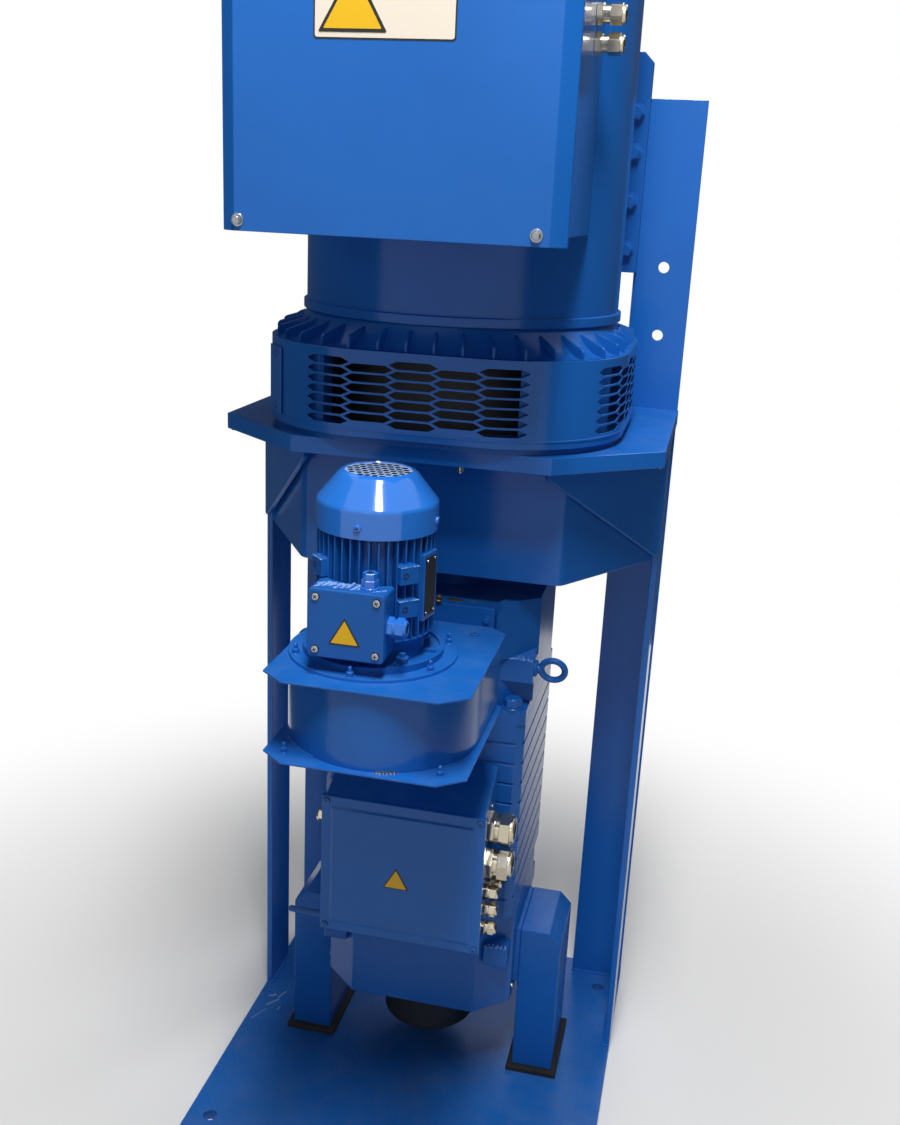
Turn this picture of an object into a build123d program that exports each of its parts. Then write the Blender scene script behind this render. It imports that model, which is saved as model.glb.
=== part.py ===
from build123d import *
import os
from math import cos, hypot, pi, sin

# A vertical generator set: a screened round generator stands on an octagonal deck plate,
# and a square drive motor with its own blower stands below it on the base plate.
# Millimetres. Z = 0 is the underside of the base, X = 0 the centre plane, Y = 0 the shaft
# axis. The front, where the blower and the terminal boxes are, faces -Y.

os.makedirs("parts", exist_ok=True)

# Small clearances
curved_seat_gap = 0.3

# Base plate
base_half_width = 360.0
base_front_y = -435.0
base_rear_y = 305.0
base_thickness = 20.0
base_hole_dia = 24.0
base_hole_side_inset = 42.0
base_hole_end_inset = 87.0

# Deck plate
deck_underside_z = 1230.0
deck_thickness = 26.0
deck_side_overhang = 2.0
deck_front_y = -268.0
deck_corner_x = 203.0
deck_corner_y = -137.0
deck_bore_radius = 150.0

# Front legs
leg_thickness = 11.0
leg_front_y = 38.0
leg_depth = 100.0
leg_outer_x = base_half_width

# Rear posts
post_front_y = 265.0
post_thickness = 12.0
post_inner_x = 257.0
post_outer_x = base_half_width
post_top_z = 1795.0
post_hole_dia = 20.0
post_hole_x = 310.0
post_hole_z = (1390.0, 1511.0)
tie_bottom_z = 1500.0

# Skirt and gussets below the deck
skirt_thickness = 3.0
skirt_height = 201.0
skirt_front_y = -170.0
skirt_front_half_width = 217.0
skirt_bend_radius = 22.0
gusset_thickness = 8.0
gusset_offset = 14.0
gusset_drop = 188.0
gusset_toe = 12.0
gusset_inner_x = 184.0
gusset_nose = 16.0

# Generator
casing_radius = 257.0
casing_bottom_z = 1435.0
casing_top_z = 2110.0
casing_rim_radius = 262.0
casing_rim_height = 14.0
foot_bar_inner_x = 218.0
foot_bar_outer_x = 262.0
foot_bar_thickness = 22.0
foot_bar_bottom_z = 1500.0
foot_bar_top_z = 1868.0
foot_bar_chamfer = 16.0
foot_web_thickness = 16.0

# Drive-end bracket: round at the neck, a square with round corners at the lip
lip_half_width = 286.0
lip_corner_radius = 200.0
lip_z = 1396.0
lip_thickness = 8.0
neck_radius = 249.0
neck_rise = 22.0
flare_waist_radius = 260.8
flare_waist_rise = 6.5
flare_foot_radius = 279.0
fin_count = 42
fin_thickness = 4.0
fin_edge_inset = 5.0
fin_shoulder_radius = 262.0
fin_shoulder_rise = 30.0
fin_toe_radius = 332.0
fin_toe_rise = 8.0
cage_ring_height = 14.0
cage_inset = 6.0
cage_wall = 14.0
cage_window_half_width = 150.0
cage_rib_thickness = 10.0
cage_rib_depth = 38.0
core_radius = 225.0

# Air screen, a rolled sheet round the lip
screen_thickness = 2.0
screen_gap_below = 10.0
slot_length = 74.0
slot_height = 11.3
slot_tip = 12.0
slot_pitch = 14.7
slot_column_pitch = 68.0
slot_column_counts = (7, 6, 7, 6, 7)
slot_middle_z = 1333.0
slot_cut_depth = 16.0
first_window_along = -7.0
window_pitch = 465.0
window_count = 4
bead_above_edge = 10.0
bead_height = 3.0
bead_proud = 1.2
strap_along = -272.0
strap_width = 54.0
strap_thickness = 3.0

# Non-drive end
end_shield_height = 46.0
end_shield_step = 9.0
end_cover_radius = 120.0
end_cover_height = 24.0
end_rib_count = 8
end_rib_thickness = 12.0
end_shield_radius = 236.0
end_shield_draft = 24.0
end_cover_chamfer = 5.0

# Main terminal box
main_lid_front_y = -472.0
main_lid_half_width = 228.0
main_lid_bottom_z = 1562.0
main_lid_top_z = 2082.0
main_lid_depth = 24.0
main_lid_sheet = 3.0
main_box_inset = 10.0
main_box_back_y = -150.0
main_lid_bend_x = 21.0
main_lid_bend_y = 15.0
main_gland_z = (1859.0, 1822.0)
main_gland_y = -245.0

# Drive motor
stack_half_width = 175.0
stack_half_depth = 162.0
stack_corner_x = 114.0
stack_corner_y = 107.0
stack_bottom_z = 400.0
stack_top_z = 774.0
groove_depth = 3.0
groove_height = 4.0
groove_count = 9
corner_step = 14.0
lower_shield_bottom_z = 194.0
upper_shield_top_z = 980.0
upper_shield_half_width = 178.0
clamp_ledge_height = 26.0
clamp_corner = 10.0
ear_thickness = 8.0
ear_rise = 8.0
ear_round = 27.0
bearing_boss_radius = 78.0
bearing_boss_height = 34.0
shaft_radius = 30.0
coupling_radius = 62.0
coupling_bottom_z = 1080.0
coupling_height = 110.0

# Drive motor feet
foot_inner_x = 183.0
foot_outer_x = 259.0
foot_front_y = -75.0
foot_height = 307.0
foot_slant = 22.0
foot_flange_rise = 20.0
pad_height = 10.0
pad_margin = 10.0

# Lower terminal box
supply_lid_front_y = -282.0
supply_lid_half_width = 140.0
supply_lid_bottom_z = 400.0
supply_lid_top_z = 655.0
supply_lid_thickness = 14.0
supply_panel_inset = 17.0
supply_panel_rise = 4.0
supply_panel_draft = 45.0
supply_box_inset = 4.0
supply_box_slope = 42.0

# Speed sensor below the motor
sensor_radius = 88.0
sensor_height = 120.0
sensor_chamfer = 6.0

# Blower
blower_plate_half_width = 150.0
blower_front_y = -548.0
blower_rear_y = -236.0
blower_low_plate_z = 845.0
blower_top_face_z = 971.0
blower_sheet = 3.0
blower_front_chamfer_x = 38.0
blower_front_chamfer_y = 31.0
blower_rear_chamfer_x = 26.0
blower_rear_chamfer_y = 23.0
scroll_radius = 142.0
scroll_y = -395.0
scroll_left_radius = 150.0
duct_half_width = 100.0
duct_height = 91.0
duct_flange_half_width = 113.0
duct_flange_top_z = 977.0
duct_flange_thickness = 6.0
inlet_radius = 62.0
inlet_depth = 90.0
impeller_radius = 58.0
impeller_disc = 3.0
impeller_height = 74.0
impeller_hub_radius = 16.0
impeller_blade = 16.0
impeller_blade_thickness = 2.0
impeller_blade_turn = 35.0
impeller_blade_count = 24
blower_axis_x = -24.0
blower_axis_y = -395.0

# Blower motor
ring_radius = 125.0
ring_height = 5.0
flange_radius = 104.0
flange_height = 10.0
flange_rim_radius = 97.0
flange_recess = 5.0
flange_hub_radius = 74.0
flange_web_count = 4
flange_web_thickness = 8.0
flange_web_root = 2.0
frame_radius = 70.0
frame_fin_count = 40
frame_fin_thickness = 2.4
frame_shoulder_height = 30.0
frame_shoulder_rise = 14.0
lug_reach = 94.0
lug_depth = 22.0
lug_width = 30.0
lug_height = 26.0
lug_places = ((-44.0, 1066.0), (-44.0, 1115.0), (-136.0, 1115.0))
plate_pad_angle = -12.0
plate_pad_reach = 87.5
plate_pad_width = 40.0
plate_pad_low_z = 1040.0
plate_pad_high_z = 1138.0
frame_top_z = 1180.0
cowl_radius = 88.0
cowl_sheet = 2.0
cowl_bottom_z = 1165.0
cowl_cone_z = 1204.0
cowl_top_z = 1246.0
cowl_top_radius = 53.0
blower_box_front_y = -515.0
blower_box_left_x = -86.0
blower_box_right_x = 24.0
blower_box_bottom_z = 1000.0
blower_box_top_z = 1100.0
blower_box_lid_depth = 8.0
blower_box_round = 6.0
blower_gland_y = -492.0
blower_gland_z = 1048.0
blower_plug_x = -4.0

# Eye bolts and their bosses on the upper shield's front corners
boss_inner_x = 120.0
boss_outer_x = 182.0
boss_front_y = -150.0
boss_rear_y = -106.0
boss_height = 40.0
eye_x = 212.0
eye_z = 868.0
eye_y = -128.0
eye_ring_radius = 20.0
eye_bar_radius = 5.5
eye_shank_radius = 8.0

# Cable glands, as shares of the hexagon's outer radius
gland_neck_ratio = 0.74
gland_dome_ratio = 0.92
gland_chamfer_ratio = 0.12
main_gland_radius = 15.0
main_gland_nut = 9.0
main_gland_length = 40.0
large_gland_radius = 29.0
large_gland_nut = 12.0
large_gland_length = 44.0
small_gland_radius = 13.0
small_gland_nut = 7.0
small_gland_length = 26.0
supply_large_glands = ((-222.0, 612.0), (-222.0, 548.0))
supply_small_glands = ((-240.0, 500.0), (-205.0, 500.0), (-240.0, 468.0), (-240.0, 432.0))
supply_left_gland = (-230.0, 590.0)

# Places that follow from the sizes above
deck_half_width = base_half_width + deck_side_overhang
deck_top_z = deck_underside_z + deck_thickness
screen_bottom_z = deck_top_z + screen_gap_below
screen_half_width = lip_half_width + curved_seat_gap
screen_corner_radius = lip_corner_radius + curved_seat_gap
skirt_bottom_z = deck_underside_z - skirt_height
post_middle_x = (post_inner_x + post_outer_x) / 2
duct_top_z = blower_low_plate_z + duct_height
frame_fin_radius = cowl_radius - cowl_sheet - curved_seat_gap
blower_axis_plane = Plane(
    origin=(blower_axis_x, blower_axis_y, 0), x_dir=(1, 0, 0), z_dir=(0, -1, 0)
)
sides = (("left", -1.0), ("right", 1.0))
boss_top_z = eye_z + boss_height / 2
ear_height = upper_shield_top_z + ear_rise - boss_top_z


def octagon_section(half_width, half_depth, corner_x, corner_y):
    """Return a rectangle with four cut corners about the shaft axis."""
    with BuildSketch(Plane.XY) as section:
        with BuildLine():
            Polyline(
                (corner_x, -half_depth),
                (half_width, -corner_y),
                (half_width, corner_y),
                (corner_x, half_depth),
                (-corner_x, half_depth),
                (-half_width, corner_y),
                (-half_width, -corner_y),
                (-corner_x, -half_depth),
                close=True,
            )
        make_face()
    return section.sketch


# Base plate with its four holding-down holes
with BuildPart() as base_plate:
    with BuildSketch(Plane.XY):
        with Locations((0, (base_front_y + base_rear_y) / 2)):
            Rectangle(2 * base_half_width, base_rear_y - base_front_y)
    extrude(amount=base_thickness)
    hole_x = base_half_width - base_hole_side_inset
    hole_y = (base_front_y + base_hole_end_inset, base_rear_y - base_hole_end_inset)
    with Locations([(sx * hole_x, y, base_thickness) for sx in (-1, 1) for y in hole_y]):
        Hole(base_hole_dia / 2, base_thickness)
base_plate.part.label = "base_plate"
export_step(base_plate.part, "parts/base_plate.step")

# Octagonal deck plate, open in the middle for the shaft
with BuildPart() as deck_plate:
    with BuildSketch(Plane.XY.offset(deck_underside_z)):
        with BuildLine():
            Polyline(
                (-deck_corner_x, deck_front_y),
                (deck_corner_x, deck_front_y),
                (deck_half_width, deck_corner_y),
                (deck_half_width, post_front_y),
                (-deck_half_width, post_front_y),
                (-deck_half_width, deck_corner_y),
                close=True,
            )
        make_face()
        Circle(deck_bore_radius, mode=Mode.SUBTRACT)
    extrude(amount=deck_thickness)
deck_plate.part.label = "deck_plate"
export_step(deck_plate.part, "parts/deck_plate.step")

# Front legs, rear posts, gussets and the generator's foot bars, left and right
for side, sign in sides:
    with BuildPart() as front_leg:
        with BuildSketch(Plane.XY.offset(base_thickness)):
            with Locations((sign * (leg_outer_x - leg_thickness / 2), leg_front_y + leg_depth / 2)):
                Rectangle(leg_thickness, leg_depth)
        extrude(amount=deck_underside_z - base_thickness)
    front_leg.part.label = f"front_leg_{side}"
    export_step(front_leg.part, f"parts/front_leg_{side}.step")

    with BuildPart() as rear_post:
        with BuildSketch(Plane.XY.offset(base_thickness)):
            with Locations((sign * post_middle_x, post_front_y + post_thickness / 2)):
                Rectangle(post_outer_x - post_inner_x, post_thickness)
        extrude(amount=post_top_z - base_thickness)
        with BuildSketch(Plane.XZ.offset(-post_front_y)):
            with Locations([(sign * post_hole_x, z) for z in post_hole_z]):
                Circle(post_hole_dia / 2)
        extrude(amount=-post_thickness, mode=Mode.SUBTRACT)
    rear_post.part.label = f"rear_post_{side}"
    export_step(rear_post.part, f"parts/rear_post_{side}.step")

    # Generator foot: a bar against the rear post and a web to the casing
    with BuildPart() as generator_foot:
        with BuildSketch(Plane.XY.offset(foot_bar_bottom_z)):
            with Locations((
                sign * (foot_bar_inner_x + foot_bar_outer_x) / 2,
                post_front_y - foot_bar_thickness / 2,
            )):
                Rectangle(foot_bar_outer_x - foot_bar_inner_x, foot_bar_thickness)
            web_middle_y = (post_front_y - foot_bar_thickness) / 2
            with Locations((sign * (foot_bar_inner_x + foot_web_thickness / 2), web_middle_y)):
                Rectangle(foot_web_thickness, post_front_y - foot_bar_thickness)
        extrude(amount=foot_bar_top_z - foot_bar_bottom_z)
        with BuildSketch(Plane.XY.offset(foot_bar_bottom_z)):
            Circle(casing_radius + curved_seat_gap)
        extrude(amount=foot_bar_top_z - foot_bar_bottom_z, mode=Mode.SUBTRACT)
        outer_edges = generator_foot.edges().filter_by(Axis.Y).sort_by(Axis.Z)[-4:]
        chamfer(outer_edges.sort_by(lambda e: sign * e.center().X)[-1:], foot_bar_chamfer)
    generator_foot.part.label = f"generator_foot_{side}"
    export_step(generator_foot.part, f"parts/generator_foot_{side}.step")

# Two flat ties between the rear posts: one at the skirt's height, one behind the generator
with BuildPart() as rear_ties:
    with BuildSketch(Plane.XY.offset(skirt_bottom_z)):
        with Locations((0, post_front_y + post_thickness / 2)):
            Rectangle(2 * post_inner_x, post_thickness)
    extrude(amount=skirt_height)
    with BuildSketch(Plane.XY.offset(tie_bottom_z)):
        with Locations((0, post_front_y + post_thickness / 2)):
            Rectangle(2 * post_inner_x, post_thickness)
    extrude(amount=post_top_z - tie_bottom_z)
rear_ties.part.label = "rear_ties"
export_step(rear_ties.part, "parts/rear_ties.step")


def skirt_station(sign, height):
    """Return the upright plane along the skirt's side, from its front corner rearward."""
    run_x = sign * (leg_outer_x - leg_thickness - skirt_front_half_width)
    run_y = leg_front_y - skirt_front_y
    return Plane(
        origin=(sign * skirt_front_half_width, skirt_front_y, height),
        x_dir=(run_x, run_y, 0),
        z_dir=(sign * run_y, -sign * run_x, 0),
    )


# Skirt, one bent sheet hanging from the deck's front, with a gusset outside each side
skirt_side_x = leg_outer_x - leg_thickness - skirt_front_half_width
skirt_side_y = leg_front_y - skirt_front_y
skirt_side_length = hypot(skirt_side_x, skirt_side_y)
skirt_inward_x = skirt_thickness * skirt_side_y / skirt_side_length
skirt_inward_y = skirt_thickness * skirt_side_x / skirt_side_length
skirt_mitre_x = skirt_inward_x / (1 + skirt_side_x / skirt_side_length)
with BuildPart() as skirt:
    with BuildSketch(Plane.XY.offset(skirt_bottom_z)):
        with BuildLine():
            skirt_end_x = skirt_front_half_width + skirt_side_x
            Polyline(
                (-skirt_end_x, leg_front_y),
                (-skirt_front_half_width, skirt_front_y),
                (skirt_front_half_width, skirt_front_y),
                (skirt_end_x, leg_front_y),
                (skirt_end_x - skirt_inward_x, leg_front_y + skirt_inward_y),
                (skirt_front_half_width - skirt_mitre_x, skirt_front_y + skirt_thickness),
                (-skirt_front_half_width + skirt_mitre_x, skirt_front_y + skirt_thickness),
                (-skirt_end_x + skirt_inward_x, leg_front_y + skirt_inward_y),
                close=True,
            )
        make_face()
    extrude(amount=skirt_height)
    inner_bends = skirt.edges().filter_by(Axis.Z).group_by(Axis.Y)[1]
    fillet(inner_bends, skirt_bend_radius - skirt_thickness)
    outer_bends = skirt.edges().filter_by(Axis.Z).group_by(Axis.Y)[0]
    fillet(outer_bends, skirt_bend_radius)
skirt.part.label = "skirt"
export_step(skirt.part, "parts/skirt.step")

for side, sign in sides:
    gusset_plane = skirt_station(sign, deck_underside_z)
    down = gusset_plane.y_dir.Z
    gusset_reach = (skirt_front_half_width - gusset_inner_x) * skirt_side_length / skirt_side_x
    with BuildPart() as gusset:
        with BuildSketch(gusset_plane.offset(gusset_offset - gusset_thickness)):
            with BuildLine():
                Polyline(
                    (-gusset_reach, 0),
                    (skirt_side_length, 0),
                    (skirt_side_length, -down * gusset_drop),
                    (skirt_side_length - gusset_toe, -down * gusset_drop),
                    (-gusset_reach, -down * gusset_nose),
                    close=True,
                )
            make_face()
        extrude(amount=gusset_thickness)
    gusset.part.label = f"gusset_{side}"
    export_step(gusset.part, f"parts/gusset_{side}.step")

# One fin of the flare, a web standing on the lip and running into the neck
with BuildPart() as flare_fin:
    with BuildSketch(Plane.XZ):
        with BuildLine():
            Polyline(
                (core_radius + fin_thickness, lip_z),
                (fin_toe_radius, lip_z),
                (fin_toe_radius, lip_z + fin_toe_rise),
                (fin_shoulder_radius, lip_z + fin_shoulder_rise),
                (core_radius + fin_thickness, lip_z + fin_shoulder_rise),
                close=True,
            )
        make_face()
    extrude(amount=fin_thickness / 2, both=True)

# All fins, trimmed to the outline of the lip
with BuildPart() as flare_fins:
    with PolarLocations(0, fin_count):
        add(flare_fin.part)
    with BuildSketch(Plane.XY.offset(lip_z)):
        fin_half_width = lip_half_width - fin_edge_inset
        RectangleRounded(2 * fin_half_width, 2 * fin_half_width, lip_corner_radius - fin_edge_inset)
    extrude(amount=casing_bottom_z - lip_z, mode=Mode.INTERSECT)

# Cage under the bracket: bottom ring and four corner posts with ribs
bracket_bore = core_radius + curved_seat_gap
cage_half_width = lip_half_width - cage_inset
cage_corner_radius = lip_corner_radius - cage_inset
with BuildPart() as drive_end_cage:
    with BuildSketch(Plane.XY.offset(deck_top_z)):
        RectangleRounded(2 * cage_half_width, 2 * cage_half_width, cage_corner_radius)
        Circle(bracket_bore, mode=Mode.SUBTRACT)
    extrude(amount=cage_ring_height)
    with BuildSketch(Plane.XY.offset(deck_top_z + cage_ring_height)):
        RectangleRounded(2 * cage_half_width, 2 * cage_half_width, cage_corner_radius)
        RectangleRounded(
            2 * (cage_half_width - cage_wall),
            2 * (cage_half_width - cage_wall),
            cage_corner_radius - cage_wall,
            mode=Mode.SUBTRACT,
        )
        Rectangle(2 * cage_window_half_width, 2 * lip_half_width, mode=Mode.SUBTRACT)
        Rectangle(2 * lip_half_width, 2 * cage_window_half_width, mode=Mode.SUBTRACT)
        rib_middle = cage_half_width - cage_wall - cage_rib_depth / 2
        rib_side = cage_window_half_width + cage_rib_thickness / 2
        with PolarLocations(0, 4):
            with Locations((rib_middle, rib_side), (rib_middle, -rib_side)):
                Rectangle(cage_rib_depth, cage_rib_thickness)
        Circle(bracket_bore, mode=Mode.SUBTRACT)
    extrude(amount=lip_z - lip_thickness - deck_top_z - cage_ring_height)
drive_end_cage.part.label = "drive_end_cage"
export_step(drive_end_cage.part, "parts/drive_end_cage.step")

# Drive-end bracket: flat lip, hollow flare up to the casing and its fins
with BuildPart() as drive_end_bracket:
    with BuildSketch(Plane.XY.offset(lip_z - lip_thickness)):
        RectangleRounded(2 * lip_half_width, 2 * lip_half_width, lip_corner_radius)
        Circle(bracket_bore, mode=Mode.SUBTRACT)
    extrude(amount=lip_thickness)
    with BuildSketch(Plane.XZ):
        with BuildLine():
            Polyline(
                (bracket_bore, lip_z),
                (bracket_bore, casing_bottom_z),
                (neck_radius, casing_bottom_z),
                (neck_radius, lip_z + neck_rise),
                (flare_waist_radius, lip_z + flare_waist_rise),
                (flare_foot_radius, lip_z),
                close=True,
            )
        make_face()
    revolve(axis=Axis.Z)
    add(flare_fins.part)
drive_end_bracket.part.label = "drive_end_bracket"
export_step(drive_end_bracket.part, "parts/drive_end_bracket.step")

# Closed core of the machine, seen as a dark drum behind the cage
with BuildPart() as drive_end_core:
    with BuildSketch(Plane.XY.offset(deck_top_z)):
        Circle(core_radius)
    extrude(amount=casing_bottom_z - deck_top_z)
drive_end_core.part.label = "drive_end_core"
export_step(drive_end_core.part, "parts/drive_end_core.step")


def screen_station(along, height):
    """Return the plane on the screen's outline, that far along it from the front's middle."""
    flat = screen_half_width - screen_corner_radius
    bend = screen_corner_radius * pi / 2
    side_length = 2 * flat + bend
    turns = round(along / side_length)
    rest = along - turns * side_length
    bend_angle = max(abs(rest) - flat, 0) / screen_corner_radius
    inward = 1 if rest >= 0 else -1
    x = inward * (min(abs(rest), flat) + screen_corner_radius * sin(bend_angle))
    y = -flat - screen_corner_radius * cos(bend_angle)
    heading = turns * pi / 2 + inward * bend_angle
    quarter = turns * pi / 2
    return Plane(
        origin=(x * cos(quarter) - y * sin(quarter), x * sin(quarter) + y * cos(quarter), height),
        x_dir=(cos(heading), sin(heading), 0),
        z_dir=(sin(heading), -cos(heading), 0),
    )


# One column of slots for each count, each slot a long hexagon with pointed ends
slot_columns = {}
for slot_count in sorted(set(slot_column_counts)):
    with BuildSketch(Plane.XY) as slot:
        with BuildLine():
            slot_flat = slot_length / 2 - slot_tip
            Polyline(
                (-slot_length / 2, 0),
                (-slot_flat, -slot_height / 2),
                (slot_flat, -slot_height / 2),
                (slot_length / 2, 0),
                (slot_flat, slot_height / 2),
                (-slot_flat, slot_height / 2),
                close=True,
            )
        make_face()
    with BuildSketch(Plane.XY) as slot_column:
        with GridLocations(slot_pitch, slot_pitch, 1, slot_count):
            add(slot.sketch)
    slot_columns[slot_count] = slot_column.sketch

# Air screen: the rolled sheet, its bead and four windows of interlocking slots
with BuildPart() as air_screen:
    with BuildSketch(Plane.XY.offset(screen_bottom_z)):
        RectangleRounded(
            2 * (screen_half_width + screen_thickness),
            2 * (screen_half_width + screen_thickness),
            screen_corner_radius + screen_thickness,
        )
        RectangleRounded(
            2 * screen_half_width, 2 * screen_half_width, screen_corner_radius, mode=Mode.SUBTRACT
        )
    extrude(amount=lip_z - screen_bottom_z)
    with BuildSketch(Plane.XY.offset(screen_bottom_z + bead_above_edge)):
        bead_reach = screen_thickness + bead_proud
        RectangleRounded(
            2 * (screen_half_width + bead_reach),
            2 * (screen_half_width + bead_reach),
            screen_corner_radius + bead_reach,
        )
        RectangleRounded(
            2 * screen_half_width, 2 * screen_half_width, screen_corner_radius, mode=Mode.SUBTRACT
        )
    extrude(amount=bead_height)
    for window in range(window_count):
        for column, slot_count in enumerate(slot_column_counts):
            from_middle = (column - (len(slot_column_counts) - 1) / 2) * slot_column_pitch
            along = first_window_along + window * window_pitch + from_middle
            station = screen_station(along, slot_middle_z)
            with BuildSketch(station.offset(-slot_cut_depth)):
                add(slot_columns[slot_count])
            extrude(amount=2 * slot_cut_depth, mode=Mode.SUBTRACT)
air_screen.part.label = "air_screen"
export_step(air_screen.part, "parts/air_screen.step")

# Flat strap over the joint of the rolled sheet
with BuildPart() as screen_strap:
    strap_plane = screen_station(strap_along, (screen_bottom_z + lip_z) / 2)
    strap_height = lip_z - screen_bottom_z - 2 * (bead_above_edge + bead_height)
    with BuildSketch(strap_plane.offset(screen_thickness)):
        Rectangle(strap_width, strap_height)
    extrude(amount=strap_thickness)
screen_strap.part.label = "screen_strap"
export_step(screen_strap.part, "parts/screen_strap.step")

# Casing, a plain drum with a rim at its lower end and a flange at its top
with BuildPart() as generator_casing:
    with BuildSketch(Plane.XY.offset(casing_bottom_z)):
        Circle(casing_radius)
    extrude(amount=casing_top_z - casing_bottom_z)
    with BuildSketch(Plane.XY.offset(casing_bottom_z)):
        Circle(casing_rim_radius)
    extrude(amount=casing_rim_height)
    with BuildSketch(Plane.XY.offset(casing_top_z - casing_rim_height)):
        Circle(casing_rim_radius)
    extrude(amount=casing_rim_height)
generator_casing.part.label = "generator_casing"
export_step(generator_casing.part, "parts/generator_casing.step")

# Upper end shield with its stiffening ribs and the round bearing cover in its middle
with BuildPart() as end_shield:
    with BuildSketch(Plane.XY.offset(casing_top_z)):
        Circle(casing_rim_radius)
    extrude(amount=end_shield_step)
    with BuildSketch(Plane.XY.offset(casing_top_z + end_shield_step)):
        Circle(end_shield_radius)
    extrude(amount=end_shield_height - end_shield_step, taper=end_shield_draft)
    with BuildSketch(Plane.XY.offset(casing_top_z + end_shield_step)):
        with PolarLocations((casing_radius + end_cover_radius) / 2, end_rib_count):
            Rectangle(casing_radius - end_cover_radius, end_rib_thickness)
    extrude(amount=end_shield_height - end_shield_step)
    with BuildSketch(Plane.XY.offset(casing_top_z + end_shield_height)):
        Circle(end_cover_radius)
    extrude(amount=end_cover_height)
    chamfer(end_shield.faces().sort_by(Axis.Z)[-1].edges(), end_cover_chamfer)
end_shield.part.label = "end_shield"
export_step(end_shield.part, "parts/end_shield.step")

def folded_lid_section(inset):
    """Return the main lid's plan, folded back at both sides, drawn in by an inset."""
    half_width = main_lid_half_width - inset
    front_y = main_lid_front_y + inset
    with BuildSketch(Plane.XY) as section:
        with BuildLine():
            Polyline(
                (-half_width, main_lid_front_y + main_lid_depth),
                (-half_width, front_y + main_lid_bend_y),
                (-half_width + main_lid_bend_x, front_y),
                (half_width - main_lid_bend_x, front_y),
                (half_width, front_y + main_lid_bend_y),
                (half_width, main_lid_front_y + main_lid_depth),
                close=True,
            )
        make_face()
    return section.sketch


# Main terminal box: a sheet box on the casing and a lid with turned edges over it
main_box_half_width = main_lid_half_width - main_box_inset
main_box_front_y = main_lid_front_y + main_lid_sheet
main_box_nose_x = main_lid_half_width - main_lid_sheet - main_lid_bend_x
main_box_shoulder_y = (
    main_box_front_y + (main_box_half_width - main_box_nose_x) * main_lid_bend_y / main_lid_bend_x
)
with BuildPart() as main_box:
    with BuildSketch(Plane.XY.offset(main_lid_bottom_z + main_box_inset)):
        with BuildLine():
            Polyline(
                (-main_box_half_width, main_box_back_y),
                (-main_box_half_width, main_box_shoulder_y),
                (-main_box_nose_x, main_box_front_y),
                (main_box_nose_x, main_box_front_y),
                (main_box_half_width, main_box_shoulder_y),
                (main_box_half_width, main_box_back_y),
                close=True,
            )
        make_face()
        Circle(casing_radius + curved_seat_gap, mode=Mode.SUBTRACT)
    extrude(amount=main_lid_top_z - main_lid_bottom_z - 2 * main_box_inset)
main_box.part.label = "main_box"
export_step(main_box.part, "parts/main_box.step")

with BuildPart() as main_box_lid:
    with BuildSketch(Plane.XY.offset(main_lid_bottom_z)):
        add(folded_lid_section(0))
    extrude(amount=main_lid_top_z - main_lid_bottom_z)
    with BuildSketch(Plane.XY.offset(main_lid_bottom_z + main_lid_sheet)):
        add(folded_lid_section(main_lid_sheet))
    extrude(amount=main_lid_top_z - main_lid_bottom_z - 2 * main_lid_sheet, mode=Mode.SUBTRACT)
main_box_lid.part.label = "main_box_lid"
export_step(main_box_lid.part, "parts/main_box_lid.step")


def cable_gland(radius, nut_depth, body_depth):
    """Draw a gland along +Z: a hexagon on the wall, a round neck and a hexagon dome nut."""
    with BuildPart() as gland:
        with BuildSketch(Plane.XY):
            RegularPolygon(radius, 6)
        extrude(amount=nut_depth)
        with BuildSketch(Plane.XY.offset(nut_depth)):
            Circle(radius * gland_neck_ratio)
        extrude(amount=body_depth - 2 * nut_depth)
        with BuildSketch(Plane.XY.offset(body_depth - nut_depth)):
            RegularPolygon(radius * gland_dome_ratio, 6)
        extrude(amount=nut_depth)
        chamfer(gland.faces().sort_by(Axis.Z)[-1].edges(), radius * gland_chamfer_ratio)
    return gland.part


# Glands of the main box, on its right side
with BuildPart() as main_glands:
    with Locations([Location((main_box_half_width, main_gland_y, z), (0, 90, 0)) for z in main_gland_z]):
        add(cable_gland(main_gland_radius, main_gland_nut, main_gland_length))
main_glands.part.label = "main_glands"
export_step(main_glands.part, "parts/main_glands.step")

# Drive motor, laminated stack: cut corners and a groove between its packets
stack_section = octagon_section(
    stack_half_width, stack_half_depth, stack_half_width - corner_step, stack_half_depth - corner_step
)
with BuildPart() as motor_stack:
    with BuildSketch(Plane.XY.offset(stack_bottom_z)):
        add(stack_section)
    extrude(amount=stack_top_z - stack_bottom_z)
    groove_pitch = (stack_top_z - stack_bottom_z) / (groove_count + 1)
    for groove in range(1, groove_count + 1):
        with BuildSketch(Plane.XY.offset(stack_bottom_z + groove * groove_pitch)):
            add(stack_section)
            Rectangle(
                2 * (stack_half_width - groove_depth),
                2 * (stack_half_depth - groove_depth),
                mode=Mode.SUBTRACT,
            )
        extrude(amount=groove_height, mode=Mode.SUBTRACT)
motor_stack.part.label = "motor_stack"
export_step(motor_stack.part, "parts/motor_stack.step")

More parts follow.
